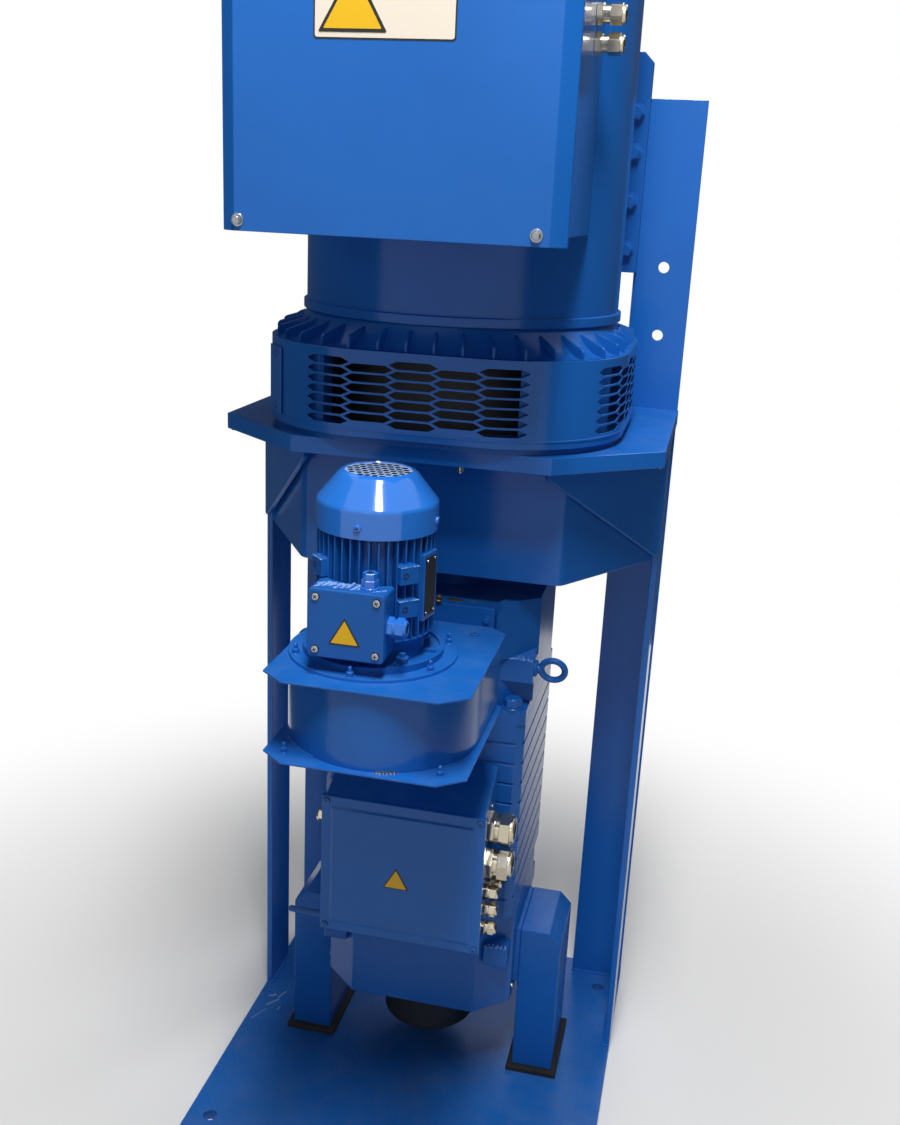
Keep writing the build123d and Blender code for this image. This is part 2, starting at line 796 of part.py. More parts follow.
# Lower shield of the motor, an octagonal housing closed below
with BuildPart() as motor_lower_shield:
    with BuildSketch(Plane.XY.offset(lower_shield_bottom_z)):
        add(octagon_section(stack_half_width, stack_half_depth, stack_corner_x, stack_corner_y))
    extrude(amount=stack_bottom_z - lower_shield_bottom_z)
    with BuildSketch(Plane.XY.offset(lower_shield_bottom_z + foot_flange_rise)):
        with Locations((0, 0)):
            Rectangle(2 * foot_inner_x, -2 * foot_front_y)
    extrude(amount=base_thickness + foot_height - lower_shield_bottom_z - foot_flange_rise)
motor_lower_shield.part.label = "motor_lower_shield"
export_step(motor_lower_shield.part, "parts/motor_lower_shield.step")

# Upper shield: a clamping ledge over the stack, then the housing round the coupling end,
# with an upright ear plate on each cut front corner and a boss for the eye below it
with BuildPart() as motor_upper_shield:
    with BuildSketch(Plane.XY.offset(stack_top_z)):
        add(
            octagon_section(
                stack_half_width,
                stack_half_depth,
                stack_half_width - clamp_corner,
                stack_half_depth - clamp_corner,
            )
        )
    extrude(amount=clamp_ledge_height)
    with BuildSketch(Plane.XY.offset(stack_top_z + clamp_ledge_height)):
        add(
            octagon_section(
                upper_shield_half_width, stack_half_depth, stack_corner_x, stack_corner_y
            )
        )
    extrude(amount=upper_shield_top_z - stack_top_z - clamp_ledge_height)
    with BuildSketch(Plane.XY.offset(upper_shield_top_z)):
        Circle(bearing_boss_radius)
    extrude(amount=bearing_boss_height)
    with BuildSketch(Plane.XY.offset(boss_top_z - boss_height)):
        boss_middle_x = (boss_inner_x + boss_outer_x) / 2
        boss_middle_y = (boss_front_y + boss_rear_y) / 2
        with Locations((boss_middle_x, boss_middle_y), (-boss_middle_x, boss_middle_y)):
            Rectangle(boss_outer_x - boss_inner_x, boss_rear_y - boss_front_y)
    extrude(amount=boss_height)
    ear_run_x = upper_shield_half_width - stack_corner_x
    ear_run_y = stack_half_depth - stack_corner_y
    ear_length = hypot(ear_run_x, ear_run_y)
    for side, sign in sides:
        ear_plane = Plane(
            origin=(sign * stack_corner_x, -stack_half_depth, boss_top_z),
            x_dir=(sign * ear_run_x, ear_run_y, 0),
            z_dir=(sign * ear_run_y, -ear_run_x, 0),
        )
        with BuildSketch(ear_plane):
            with BuildLine():
                ear_shoulder = (0, sign * (ear_height - ear_round))
                ear_bend = (
                    ear_round * (1 - cos(pi / 4)),
                    sign * (ear_height - ear_round * (1 - sin(pi / 4))),
                )
                ear_top = (ear_round, sign * ear_height)
                ThreePointArc(ear_shoulder, ear_bend, ear_top)
                Polyline(ear_top, (ear_length, sign * ear_height), (ear_length, 0), (0, 0), ear_shoulder)
            make_face()
        extrude(amount=ear_thickness, both=True)
motor_upper_shield.part.label = "motor_upper_shield"
export_step(motor_upper_shield.part, "parts/motor_upper_shield.step")

# Shaft and coupling between motor and generator
with BuildPart() as shaft_coupling:
    with BuildSketch(Plane.XY.offset(upper_shield_top_z + bearing_boss_height)):
        Circle(shaft_radius)
    extrude(amount=deck_top_z - upper_shield_top_z - bearing_boss_height)
    with BuildSketch(Plane.XY.offset(coupling_bottom_z)):
        Circle(coupling_radius)
    extrude(amount=coupling_height)
shaft_coupling.part.label = "shaft_coupling"
export_step(shaft_coupling.part, "parts/shaft_coupling.step")

# Motor feet, their black pads and the two lifting eyes
foot_middle_x = (foot_inner_x + foot_outer_x) / 2
foot_width = foot_outer_x - foot_inner_x
for side, sign in sides:
    with BuildPart() as motor_foot:
        with BuildSketch(Plane.XY.offset(base_thickness + pad_height)):
            with Locations((sign * foot_middle_x, 0)):
                Rectangle(foot_width, -2 * foot_front_y)
        extrude(amount=foot_height - pad_height)
        top_edges = motor_foot.edges().filter_by(Axis.Y).group_by(Axis.Z)[-1]
        chamfer(top_edges.sort_by(lambda e: sign * e.center().X)[-1:], foot_slant)
    motor_foot.part.label = f"motor_foot_{side}"
    export_step(motor_foot.part, f"parts/motor_foot_{side}.step")

with BuildPart() as foot_pads:
    with BuildSketch(Plane.XY.offset(base_thickness)):
        with Locations((foot_middle_x, 0), (-foot_middle_x, 0)):
            Rectangle(foot_width + 2 * pad_margin, 2 * (pad_margin - foot_front_y))
    extrude(amount=pad_height)
foot_pads.part.label = "foot_pads"
export_step(foot_pads.part, "parts/foot_pads.step")

with BuildPart() as eye_bolts:
    with BuildSketch(Plane.XZ.offset(-eye_y)):
        with Locations((eye_x, eye_z), (-eye_x, eye_z)):
            Circle(eye_ring_radius + eye_bar_radius)
            Circle(eye_ring_radius - eye_bar_radius, mode=Mode.SUBTRACT)
    extrude(amount=eye_bar_radius, both=True)
    for side, sign in sides:
        with BuildSketch(Plane.YZ.offset(sign * boss_outer_x)):
            with Locations((eye_y, eye_z)):
                Circle(eye_shank_radius)
        extrude(amount=sign * (eye_x - eye_ring_radius - boss_outer_x))
eye_bolts.part.label = "eye_bolts"
export_step(eye_bolts.part, "parts/eye_bolts.step")

# Supply terminal box on the motor's front: a box with a sloping top, and its framed lid
supply_box_front_y = supply_lid_front_y + supply_lid_thickness
supply_half_width = supply_lid_half_width - supply_box_inset
with BuildPart() as supply_box:
    with BuildSketch(Plane.YZ.offset(-supply_half_width)):
        with BuildLine():
            Polyline(
                (supply_box_front_y, supply_lid_bottom_z + supply_box_inset),
                (-stack_half_depth, supply_lid_bottom_z + supply_box_inset),
                (-stack_half_depth, supply_lid_top_z + supply_box_slope),
                (supply_box_front_y, supply_lid_top_z - supply_box_inset),
                close=True,
            )
        make_face()
    extrude(amount=2 * supply_half_width)
supply_box.part.label = "supply_box"
export_step(supply_box.part, "parts/supply_box.step")

with BuildPart() as supply_box_lid:
    supply_frame_y = supply_lid_front_y + supply_panel_rise
    with BuildSketch(Plane.XZ.offset(-supply_frame_y)):
        with Locations((0, (supply_lid_bottom_z + supply_lid_top_z) / 2)):
            Rectangle(2 * supply_lid_half_width, supply_lid_top_z - supply_lid_bottom_z)
    extrude(amount=supply_panel_rise - supply_lid_thickness)
    with BuildSketch(Plane.XZ.offset(-supply_frame_y)):
        with Locations((0, (supply_lid_bottom_z + supply_lid_top_z) / 2)):
            Rectangle(
                2 * (supply_lid_half_width - supply_panel_inset),
                supply_lid_top_z - supply_lid_bottom_z - 2 * supply_panel_inset,
            )
    extrude(amount=supply_panel_rise, taper=supply_panel_draft)
supply_box_lid.part.label = "supply_box_lid"
export_step(supply_box_lid.part, "parts/supply_box_lid.step")

# Glands of the supply box: two large and four small on the right, one on the left
with BuildPart() as supply_glands:
    with Locations([Location((supply_half_width, y, z), (0, 90, 0)) for y, z in supply_large_glands]):
        add(cable_gland(large_gland_radius, large_gland_nut, large_gland_length))
    with Locations([Location((supply_half_width, y, z), (0, 90, 0)) for y, z in supply_small_glands]):
        add(cable_gland(small_gland_radius, small_gland_nut, small_gland_length))
    with Locations(Location((-supply_half_width, supply_left_gland[0], supply_left_gland[1]), (0, -90, 0))):
        add(cable_gland(small_gland_radius, small_gland_nut, small_gland_length))
supply_glands.part.label = "supply_glands"
export_step(supply_glands.part, "parts/supply_glands.step")

# Speed sensor hanging from the lower shield
with BuildPart() as speed_sensor:
    with BuildSketch(Plane.XY.offset(lower_shield_bottom_z - sensor_height)):
        Circle(sensor_radius)
    extrude(amount=sensor_height)
    chamfer(speed_sensor.faces().sort_by(Axis.Z)[0].edges(), sensor_chamfer)
speed_sensor.part.label = "speed_sensor"
export_step(speed_sensor.part, "parts/speed_sensor.step")

# Blower plates, with cut corners, above and below the scroll; the upper one carries a ring
with BuildPart() as blower_plate:
    with BuildSketch(Plane.XY):
        with BuildLine():
            Polyline(
                (blower_plate_half_width - blower_front_chamfer_x, blower_front_y),
                (blower_plate_half_width, blower_front_y + blower_front_chamfer_y),
                (blower_plate_half_width, blower_rear_y - blower_rear_chamfer_y),
                (blower_plate_half_width - blower_rear_chamfer_x, blower_rear_y),
                (-blower_plate_half_width + blower_rear_chamfer_x, blower_rear_y),
                (-blower_plate_half_width, blower_rear_y - blower_rear_chamfer_y),
                (-blower_plate_half_width, blower_front_y + blower_front_chamfer_y),
                (-blower_plate_half_width + blower_front_chamfer_x, blower_front_y),
                close=True,
            )
        make_face()
    extrude(amount=blower_sheet)

with BuildPart() as blower_bottom_plate:
    with Locations((0, 0, blower_low_plate_z)):
        add(blower_plate.part)
    with BuildSketch(Plane.XY.offset(blower_low_plate_z)):
        with Locations((blower_axis_x, blower_axis_y)):
            Circle(inlet_radius)
    extrude(amount=blower_sheet, mode=Mode.SUBTRACT)
blower_bottom_plate.part.label = "blower_bottom_plate"
export_step(blower_bottom_plate.part, "parts/blower_bottom_plate.step")

with BuildPart() as blower_top_plate:
    with Locations((0, 0, blower_top_face_z - blower_sheet)):
        add(blower_plate.part)
    with BuildSketch(Plane.XY.offset(blower_top_face_z)):
        with Locations((blower_axis_x, blower_axis_y)):
            Circle(ring_radius)
    extrude(amount=ring_height)
blower_top_plate.part.label = "blower_top_plate"
export_step(blower_top_plate.part, "parts/blower_top_plate.step")

# Scroll between the plates: it widens from left to right and runs rearward into the duct.
# Its housing is closed; only the round inlet below is open, where the impeller shows.
scroll_bottom_z = blower_low_plate_z + blower_sheet
scroll_height = blower_top_face_z - 2 * blower_sheet - blower_low_plate_z
with BuildPart() as blower_scroll:
    with BuildSketch(Plane.XY.offset(scroll_bottom_z)):
        with BuildLine():
            scroll_front = (0, scroll_y - scroll_radius)
            scroll_right = (scroll_radius, scroll_y)
            scroll_left = (-scroll_left_radius, scroll_y - scroll_radius + scroll_left_radius)
            RadiusArc(scroll_left, scroll_front, -scroll_left_radius)
            RadiusArc(scroll_front, scroll_right, -scroll_radius)
            Polyline(
                scroll_right,
                (scroll_radius, blower_rear_y - blower_rear_chamfer_y),
                (duct_half_width, blower_rear_y),
                (-duct_half_width, blower_rear_y),
                (-scroll_left_radius, blower_rear_y - blower_rear_chamfer_y),
                scroll_left,
            )
        make_face()
    extrude(amount=scroll_height)
    with BuildSketch(Plane.XY.offset(scroll_bottom_z)):
        with Locations((blower_axis_x, blower_axis_y)):
            Circle(inlet_radius)
    extrude(amount=inlet_depth, mode=Mode.SUBTRACT)
blower_scroll.part.label = "blower_scroll"
export_step(blower_scroll.part, "parts/blower_scroll.step")

# Impeller: a back disc on the motor's shaft with straight blades round its rim
with BuildPart() as blower_impeller:
    impeller_top_z = scroll_bottom_z + inlet_depth
    with BuildSketch(Plane.XY.offset(impeller_top_z - impeller_disc)):
        with Locations((blower_axis_x, blower_axis_y)):
            Circle(impeller_radius)
    extrude(amount=impeller_disc)
    with BuildSketch(Plane.XY.offset(impeller_top_z - impeller_height)):
        with Locations((blower_axis_x, blower_axis_y)):
            Circle(impeller_hub_radius)
            with PolarLocations(impeller_radius - impeller_blade / 2, impeller_blade_count):
                Rectangle(impeller_blade, impeller_blade_thickness, rotation=impeller_blade_turn)
    extrude(amount=impeller_height - impeller_disc)
blower_impeller.part.label = "blower_impeller"
export_step(blower_impeller.part, "parts/blower_impeller.step")

# Duct from the scroll into the motor's upper shield, with a flange on the shield's face
with BuildPart() as blower_duct:
    with BuildSketch(Plane.XZ.offset(-blower_rear_y)):
        with Locations((0, (blower_low_plate_z + duct_top_z) / 2)):
            Rectangle(2 * duct_half_width, duct_top_z - blower_low_plate_z)
    extrude(amount=blower_rear_y + stack_half_depth)
    with BuildSketch(Plane.XZ.offset(stack_half_depth)):
        with Locations((0, (blower_low_plate_z + duct_flange_top_z) / 2)):
            Rectangle(2 * duct_flange_half_width, duct_flange_top_z - blower_low_plate_z)
    extrude(amount=duct_flange_thickness)
blower_duct.part.label = "blower_duct"
export_step(blower_duct.part, "parts/blower_duct.step")

# Blower motor, standing on the top plate's ring: recessed flange, finned frame with
# cast lugs and a flat pad, and cowl
flange_bottom_z = blower_top_face_z + ring_height
frame_bottom_z = flange_bottom_z + flange_height
fins_bottom_z = frame_bottom_z + frame_shoulder_height
with BuildPart() as blower_motor_flange:
    with BuildSketch(blower_axis_plane):
        with BuildLine():
            Polyline(
                (0, flange_bottom_z),
                (flange_radius, flange_bottom_z),
                (flange_radius, frame_bottom_z),
                (flange_rim_radius, frame_bottom_z),
                (flange_rim_radius, frame_bottom_z - flange_recess),
                (flange_hub_radius, frame_bottom_z - flange_recess),
                (flange_hub_radius, fins_bottom_z - frame_shoulder_rise),
                (frame_fin_radius, fins_bottom_z),
                (0, fins_bottom_z),
                close=True,
            )
        make_face()
    revolve(axis=Axis(blower_axis_plane.origin, (0, 0, 1)))
    with BuildSketch(Plane.XY.offset(frame_bottom_z - flange_recess)):
        with Locations((blower_axis_x, blower_axis_y)):
            with PolarLocations((flange_hub_radius + flange_rim_radius) / 2, flange_web_count):
                web_length = flange_rim_radius - flange_hub_radius + 2 * flange_web_root
                Rectangle(web_length, flange_web_thickness)
    extrude(amount=flange_recess)
blower_motor_flange.part.label = "blower_motor_flange"
export_step(blower_motor_flange.part, "parts/blower_motor_flange.step")

with BuildPart() as blower_motor_frame:
    with BuildSketch(Plane.XY.offset(fins_bottom_z)):
        with Locations((blower_axis_x, blower_axis_y)):
            Circle(frame_radius)
            fin_length = frame_fin_radius - frame_radius + frame_fin_thickness
            with PolarLocations(frame_fin_radius - fin_length / 2, frame_fin_count):
                Rectangle(fin_length, frame_fin_thickness)
    extrude(amount=frame_top_z - fins_bottom_z)
    for lug_angle, lug_z in lug_places:
        with BuildSketch(Plane.XY.offset(lug_z - lug_height / 2)):
            with Locations((blower_axis_x, blower_axis_y)):
                with PolarLocations(lug_reach - lug_depth / 2, 1, lug_angle):
                    Rectangle(lug_depth, lug_width)
        extrude(amount=lug_height)
    with BuildSketch(Plane.XY.offset(plate_pad_low_z)):
        with Locations((blower_axis_x, blower_axis_y)):
            with PolarLocations((frame_radius + plate_pad_reach) / 2, 1, plate_pad_angle):
                Rectangle(plate_pad_reach - frame_radius, plate_pad_width)
    extrude(amount=plate_pad_high_z - plate_pad_low_z)
blower_motor_frame.part.label = "blower_motor_frame"
export_step(blower_motor_frame.part, "parts/blower_motor_frame.step")

with BuildPart() as blower_cowl:
    with BuildSketch(blower_axis_plane):
        with BuildLine():
            Polyline(
                (cowl_radius, cowl_bottom_z),
                (cowl_radius, cowl_cone_z),
                (cowl_top_radius, cowl_top_z),
                (0, cowl_top_z),
                (0, frame_top_z),
                (cowl_radius - cowl_sheet, frame_top_z),
                (cowl_radius - cowl_sheet, cowl_bottom_z),
                close=True,
            )
        make_face()
    revolve(axis=Axis(blower_axis_plane.origin, (0, 0, 1)))
blower_cowl.part.label = "blower_cowl"
export_step(blower_cowl.part, "parts/blower_cowl.step")

# Terminal box of the blower motor, on its front, with its lid and glands
blower_box_middle_x = (blower_box_left_x + blower_box_right_x) / 2
blower_box_middle_z = (blower_box_bottom_z + blower_box_top_z) / 2
with BuildPart() as blower_box:
    with BuildSketch(Plane.XZ.offset(-blower_box_front_y - blower_box_lid_depth)):
        with Locations((blower_box_middle_x, blower_box_middle_z)):
            RectangleRounded(
                blower_box_right_x - blower_box_left_x,
                blower_box_top_z - blower_box_bottom_z,
                blower_box_round,
            )
    extrude(amount=blower_box_front_y + blower_box_lid_depth - blower_axis_y)
    with BuildSketch(Plane.XY.offset(blower_box_bottom_z - blower_box_round)):
        with Locations((blower_axis_x, blower_axis_y)):
            Circle(frame_fin_radius + curved_seat_gap)
    extrude(amount=frame_top_z - blower_box_bottom_z, mode=Mode.SUBTRACT)
blower_box.part.label = "blower_box"
export_step(blower_box.part, "parts/blower_box.step")

with BuildPart() as blower_box_lid:
    with BuildSketch(Plane.XZ.offset(-blower_box_front_y)):
        with Locations((blower_box_middle_x, blower_box_middle_z)):
            RectangleRounded(
                blower_box_right_x - blower_box_left_x,
                blower_box_top_z - blower_box_bottom_z,
                blower_box_round,
            )
    extrude(amount=-blower_box_lid_depth)
blower_box_lid.part.label = "blower_box_lid"
export_step(blower_box_lid.part, "parts/blower_box_lid.step")

with BuildPart() as blower_glands:
    with Locations(Location((blower_box_right_x, blower_gland_y, blower_gland_z), (0, 90, 0))):
        add(cable_gland(small_gland_radius, small_gland_nut, small_gland_length))
    with Locations((blower_plug_x, blower_gland_y, blower_box_top_z)):
        add(cable_gland(small_gland_radius, small_gland_nut, small_gland_length))
blower_glands.part.label = "blower_glands"
export_step(blower_glands.part, "parts/blower_glands.step")
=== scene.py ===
"""Looks of the vertical generator set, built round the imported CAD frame."""

import logging
import random
from dataclasses import dataclass
from enum import Enum
from math import cos, hypot, pi, radians, sin, sqrt, tan

import bmesh
import bpy
from bmesh import ops
from bmesh.types import BMEdge, BMesh, BMVert
from bpy.types import Material, Node, NodeSocket, NodeTree, Object
from mathutils import Matrix, Vector


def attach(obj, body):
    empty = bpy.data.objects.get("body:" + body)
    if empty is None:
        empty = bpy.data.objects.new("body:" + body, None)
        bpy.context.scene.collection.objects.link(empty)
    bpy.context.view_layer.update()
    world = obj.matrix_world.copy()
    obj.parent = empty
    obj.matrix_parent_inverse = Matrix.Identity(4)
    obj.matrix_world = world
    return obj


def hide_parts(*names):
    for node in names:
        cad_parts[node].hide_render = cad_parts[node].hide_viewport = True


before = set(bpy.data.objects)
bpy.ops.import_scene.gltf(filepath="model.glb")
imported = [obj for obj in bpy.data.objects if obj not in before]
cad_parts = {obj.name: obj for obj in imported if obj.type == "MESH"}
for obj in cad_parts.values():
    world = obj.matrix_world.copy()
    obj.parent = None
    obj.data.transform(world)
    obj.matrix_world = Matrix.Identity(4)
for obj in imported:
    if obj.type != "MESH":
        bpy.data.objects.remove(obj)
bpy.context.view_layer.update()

Pair = tuple[float, float]
Triple = tuple[float, float, float]

LOG = logging.getLogger("generator_set")
MM = 0.001
BODY = "root"
SHARP_ANGLE = radians(24)
FLAT_ANGLE = radians(0.3)
SIDES = (-1, 1)
UP, DOWN = (0, 0, 1), (0, 0, -1)
FRONT, REAR = (0, -1, 0), (0, 1, 0)
LEFT, RIGHT = (-1, 0, 0), (1, 0, 0)
WHITE = (1, 1, 1, 1)
# The first head's turn and the step to the next, in radians: no two stand alike
HEAD_TURNS = (0.35, 0.61)
GLAND_TURNS = (0.3, 0.47)
CRUST_SEED = 11


# Finishes

DRIFT_MM = 180
DUST_PATCH_MM = 55
PAINT_IOR = 1.45
COAT_ROUGHNESS = 0.06


def linear(hex_colour: str) -> tuple[float, ...]:
    """Turn an sRGB hex colour into the linear values that shaders take.

    Args:
        hex_colour: Six hex digits, with or without a leading #.

    Returns:
        Linear red, green, blue and an alpha of 1.
    """
    digits = hex_colour.lstrip("#")
    channels = [int(digits[i:i + 2], 16) / 255 for i in (0, 2, 4)]
    curved = [c / 12.92 if c <= 0.04045 else ((c + 0.055) / 1.055) ** 2.4 for c in channels]
    return (curved[0], curved[1], curved[2], 1)


def add_node(tree: NodeTree, kind: str, settings: dict | None = None, **inputs) -> Node:
    """Add one shader node with its settings and links.

    Args:
        tree: The node tree that takes the node.
        kind: The node's Blender type name, less its ShaderNode.
        settings: Attributes to set on the node.
        **inputs: Values, source sockets, or nodes for their first output; each by socket name
            with _ for a space, or by number as i0, i1 and so on.

    Returns:
        The new node.
    """
    node = tree.nodes.new(f"ShaderNode{kind}")
    for name, value in (settings or {}).items():
        setattr(node, name, value)
    for name, value in inputs.items():
        key = int(name[1:]) if name[0] == "i" and name[1:].isdigit() else name.replace("_", " ")
        socket = node.inputs[key]
        if isinstance(value, Node):
            value = value.outputs[0]
        if isinstance(value, NodeSocket):
            tree.links.new(value, socket)
        else:
            socket.default_value = value
    return node


def mix_colours(tree: NodeTree, share: Node, first: NodeSocket | tuple, second: tuple) -> NodeSocket:
    """Mix two colours by a share, and return the mix's socket."""
    return add_node(tree, "Mix", {"data_type": "RGBA"}, Factor=share, i6=first, i7=second).outputs[2]


def blank_material(name: str) -> Material:
    """Make a material whose node tree is empty."""
    material = bpy.data.materials.new(name)
    material.use_nodes = True
    material.node_tree.nodes.clear()
    return material


class Sheen(Enum):
    """How a finish catches the light."""

    PAINT = "paint"
    METAL = "metal"
    DULL = "dull"


@dataclass(frozen=True)
class Finish:
    """One material of the set, from its common name and how its surface was made."""

    name: str
    colour: str
    shade: str
    sheen: Sheen
    roughness: float
    grain_mm: float
    bump_mm: float
    slot: str = "blue_enamel"
    dust: str = "#8C9099"
    dust_share: float = 0
    coat: float = 0
    specular: float = 0.5

    def material(self) -> Material:
        """Build the node material, or return it if it is there already."""
        found = bpy.data.materials.get(self.name)
        if found:
            return found
        material = blank_material(self.name)
        tree = material.node_tree
        spot = add_node(tree, "TexCoord").outputs["Object"]
        drift = add_node(tree, "TexNoise", Vector=spot, Scale=1 / (DRIFT_MM * MM), Detail=4)
        speck = add_node(tree, "TexNoise", Vector=spot, Scale=1 / (self.grain_mm * MM), Detail=5)
        colour = mix_colours(tree, drift, linear(self.colour), linear(self.shade))
        if self.dust_share > 0:
            colour = mix_colours(tree, self.dust_amount(tree, spot), colour, linear(self.dust))
        polish = add_node(tree, "MapRange", Value=speck, To_Min=self.roughness * 0.8,
                          To_Max=self.roughness * 1.25)
        bump = add_node(tree, "Bump", Height=speck, Distance=self.bump_mm * MM, Strength=0.6)
        shader = add_node(tree, "BsdfPrincipled", Base_Color=colour, Roughness=polish, Normal=bump,
                          Metallic=float(self.sheen is Sheen.METAL), IOR=PAINT_IOR, Coat_Weight=self.coat,
                          Specular_IOR_Level=self.specular, Coat_Roughness=COAT_ROUGHNESS)
        add_node(tree, "OutputMaterial", Surface=shader)
        return material

    def dust_amount(self, tree: NodeTree, spot: NodeSocket) -> Node:
        """Return the node that says how much dust lies at a spot: patches, on upward faces alone."""
        facing = add_node(tree, "NewGeometry").outputs["Normal"]
        upward = add_node(tree, "SeparateXYZ", Vector=facing).outputs["Z"]
        level = add_node(tree, "MapRange", Value=upward, From_Min=0.35, From_Max=1)
        patch = add_node(tree, "TexNoise", Vector=spot, Scale=1 / (DUST_PATCH_MM * MM), Detail=7,
                         Roughness=0.62)
        spread = add_node(tree, "MapRange", Value=patch, From_Min=0.42, From_Max=0.78,
                          To_Max=self.dust_share)
        return add_node(tree, "Math", {"operation": "MULTIPLY"}, i0=level, i1=spread)


# Machine enamel, sprayed: deep blue, wet gloss, a slight orange peel
ENAMEL = Finish("blue_sprayed_enamel", "#1F6DC6", "#185EB0", Sheen.PAINT, 0.18, 7, 0.04,
                dust="#7C97C4", dust_share=0.14, specular=0.33)
# The same enamel on rough iron castings, with the sand grain showing through
CAST_ENAMEL = Finish("blue_enamel_on_casting", "#1A65BB", "#1355A2", Sheen.PAINT, 0.24, 3.2, 0.20,
                     dust="#7C97C4", dust_share=0.16, specular=0.26)
# Rough flash along a casting's edges: sharp grains, coloured pale as a painted highlight where they catch the
# light
FLASH_ENAMEL_PAINTED_HIGHLIGHT = Finish("blue_enamel_on_rough_flash_painted_highlight", "#4E8AD6", "#A9C6F2", Sheen.PAINT, 0.12, 1.4, 0.30,
                      coat=0.5)
# The motor's cowl, spun sheet with the freshest and wettest coat
COWL_ENAMEL = Finish("blue_enamel_on_spun_sheet", "#287BDD", "#206CCB", Sheen.PAINT, 0.13, 9, 0.03,
                     dust="#8FA0BC", dust_share=0.06, coat=0.35)
# The pressed mesh in the cowl's crown, coloured pale: a painted reflection of the sky
MESH_ENAMEL_PAINTED_REFLECTION = Finish("blue_enamel_painted_reflection_on_pressed_mesh", "#9DBDEE", "#CBDAF7", Sheen.PAINT, 0.20, 2.4, 0.03,
                     coat=0.3)
# The base plate's enamel, walked on and scuffed through to a greyer coat
SCUFFED_ENAMEL = Finish("blue_enamel_scuffed", "#2068BC", "#19569C", Sheen.PAINT, 0.28, 5, 0.08,
                        dust="#73809A", dust_share=0.20, specular=0.3)
# Where a boot or a tool has gone through the base's enamel to the primer: pale and dry
BARE_SCUFF = Finish("primer_in_scratches", "#8E9BB4", "#6F7F9E", Sheen.DULL, 0.55, 2, 0.05)
# Dipped iron, matt and nearly black, on the core and the impeller; also painted shade: the cowl's lining, the
# lugs' holes and the screws' crosses and rims
DARK_IRON_AND_PAINTED_SHADE = Finish("black_dipped_iron_and_painted_shade", "#15171C", "#0E1014", Sheen.DULL, 0.62, 4, 0.15, "dark_iron")
# Rubber of pads and seals: the deepest black, with a dry face; also the dark disc in the blower plug's top,
# painted shade for its bore
PAD_RUBBER_AND_PAINTED_SHADE = Finish("black_moulded_rubber_and_painted_shade", "#0D0D0E", "#131314", Sheen.DULL, 0.78, 2, 0.08, "black_pad")
# Moulded plastic of the sensor and the fan, a soft sheen over a fine even grain
SENSOR_PLASTIC = Finish("black_moulded_polyamide", "#101113", "#17181B", Sheen.DULL, 0.48, 1.2, 0.03,
                        "black_plastic")
# Nickel over brass: a warm mirror on the glands
NICKEL = Finish("nickel_plated_brass", "#CFC8B6", "#B5AB94", Sheen.METAL, 0.17, 2, 0.02, "nickel_brass")
# Zinc plate: a cool mirror on bolts, nuts and screws
ZINC = Finish("zinc_plated_steel", "#A4A9B0", "#8D929A", Sheen.METAL, 0.25, 3, 0.01, "bare_steel")
# Steel straight off the lathe, greyer and less sharp than the plated parts
TURNED_STEEL = Finish("turned_bare_steel", "#8E9094", "#7B7D80", Sheen.METAL, 0.35, 2.5, 0.04, "bare_steel")
# Printed plates, smooth and half matt: cream, yellow and the black of their borders
CREAM_PLATE = Finish("cream_printed_plate", "#F1E6D6", "#EADFCD", Sheen.PAINT, 0.42, 6, 0.01)
YELLOW_PLATE = Finish("yellow_printed_plate", "#F0BE1E", "#E9B414", Sheen.PAINT, 0.42, 6, 0.01)
BLACK_PLATE = Finish("black_printed_border", "#121212", "#191919", Sheen.PAINT, 0.45, 6, 0.01,
                     "black_plastic")
# Anodised plate, black with a fine dull grain
BLACK_ALLOY = Finish("black_anodised_plate", "#101115", "#17191E", Sheen.DULL, 0.42, 2, 0.02,
                     "black_plastic", specular=0.25)
# Drawn brass gone dull with handling
BRASS = Finish("dull_drawn_brass", "#8E7A48", "#6E5C33", Sheen.METAL, 0.45, 2, 0.03, "nickel_brass")


# Shop tools


def new_object(name: str, mesh: BMesh, material: Material | None = None) -> Object:
    """Turn a bmesh into an object of the scene.

    Args:
        name: The object's name.
        mesh: The bmesh, in metres in the row frame. It is freed.
        material: Its material, if it takes one.

    Returns:
        The new object.
    """
    data = bpy.data.meshes.new(name)
    mesh.to_mesh(data)
    mesh.free()
    if material:
        data.materials.append(material)
    made = bpy.data.objects.new(name, data)
    bpy.context.scene.collection.objects.link(made)
    return made


def finish_piece(name: str, mesh: BMesh, finish: Finish, replaces: tuple[str, ...] = (),
                 smooth: bool = True) -> Object:
    """Turn a finished bmesh into a piece that rides on the set.

    Args:
        name: The piece's name.
        mesh: The bmesh, in metres in the row frame. It is freed.
        finish: The piece's finish.
        replaces: CAD nodes that the piece stands for.
        smooth: Whether faces under the sharp angle are shaded as one surface.

    Returns:
        The new object.
    """
    ops.remove_doubles(mesh, verts=mesh.verts, dist=1e-6)
    ops.recalc_face_normals(mesh, faces=mesh.faces)
    piece = new_object(name, mesh, finish.material())
    if smooth:
        piece.data.shade_smooth()
        piece.data.set_sharp_from_angle(angle=SHARP_ANGLE)
        weighted = piece.modifiers.new("flat_faces_stay_flat", "WEIGHTED_NORMAL")
        weighted.keep_sharp = True
    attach(piece, BODY)
    if replaces:
        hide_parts(*replaces)
    LOG.info("%s: %d faces", name, len(piece.data.polygons))
    return piece


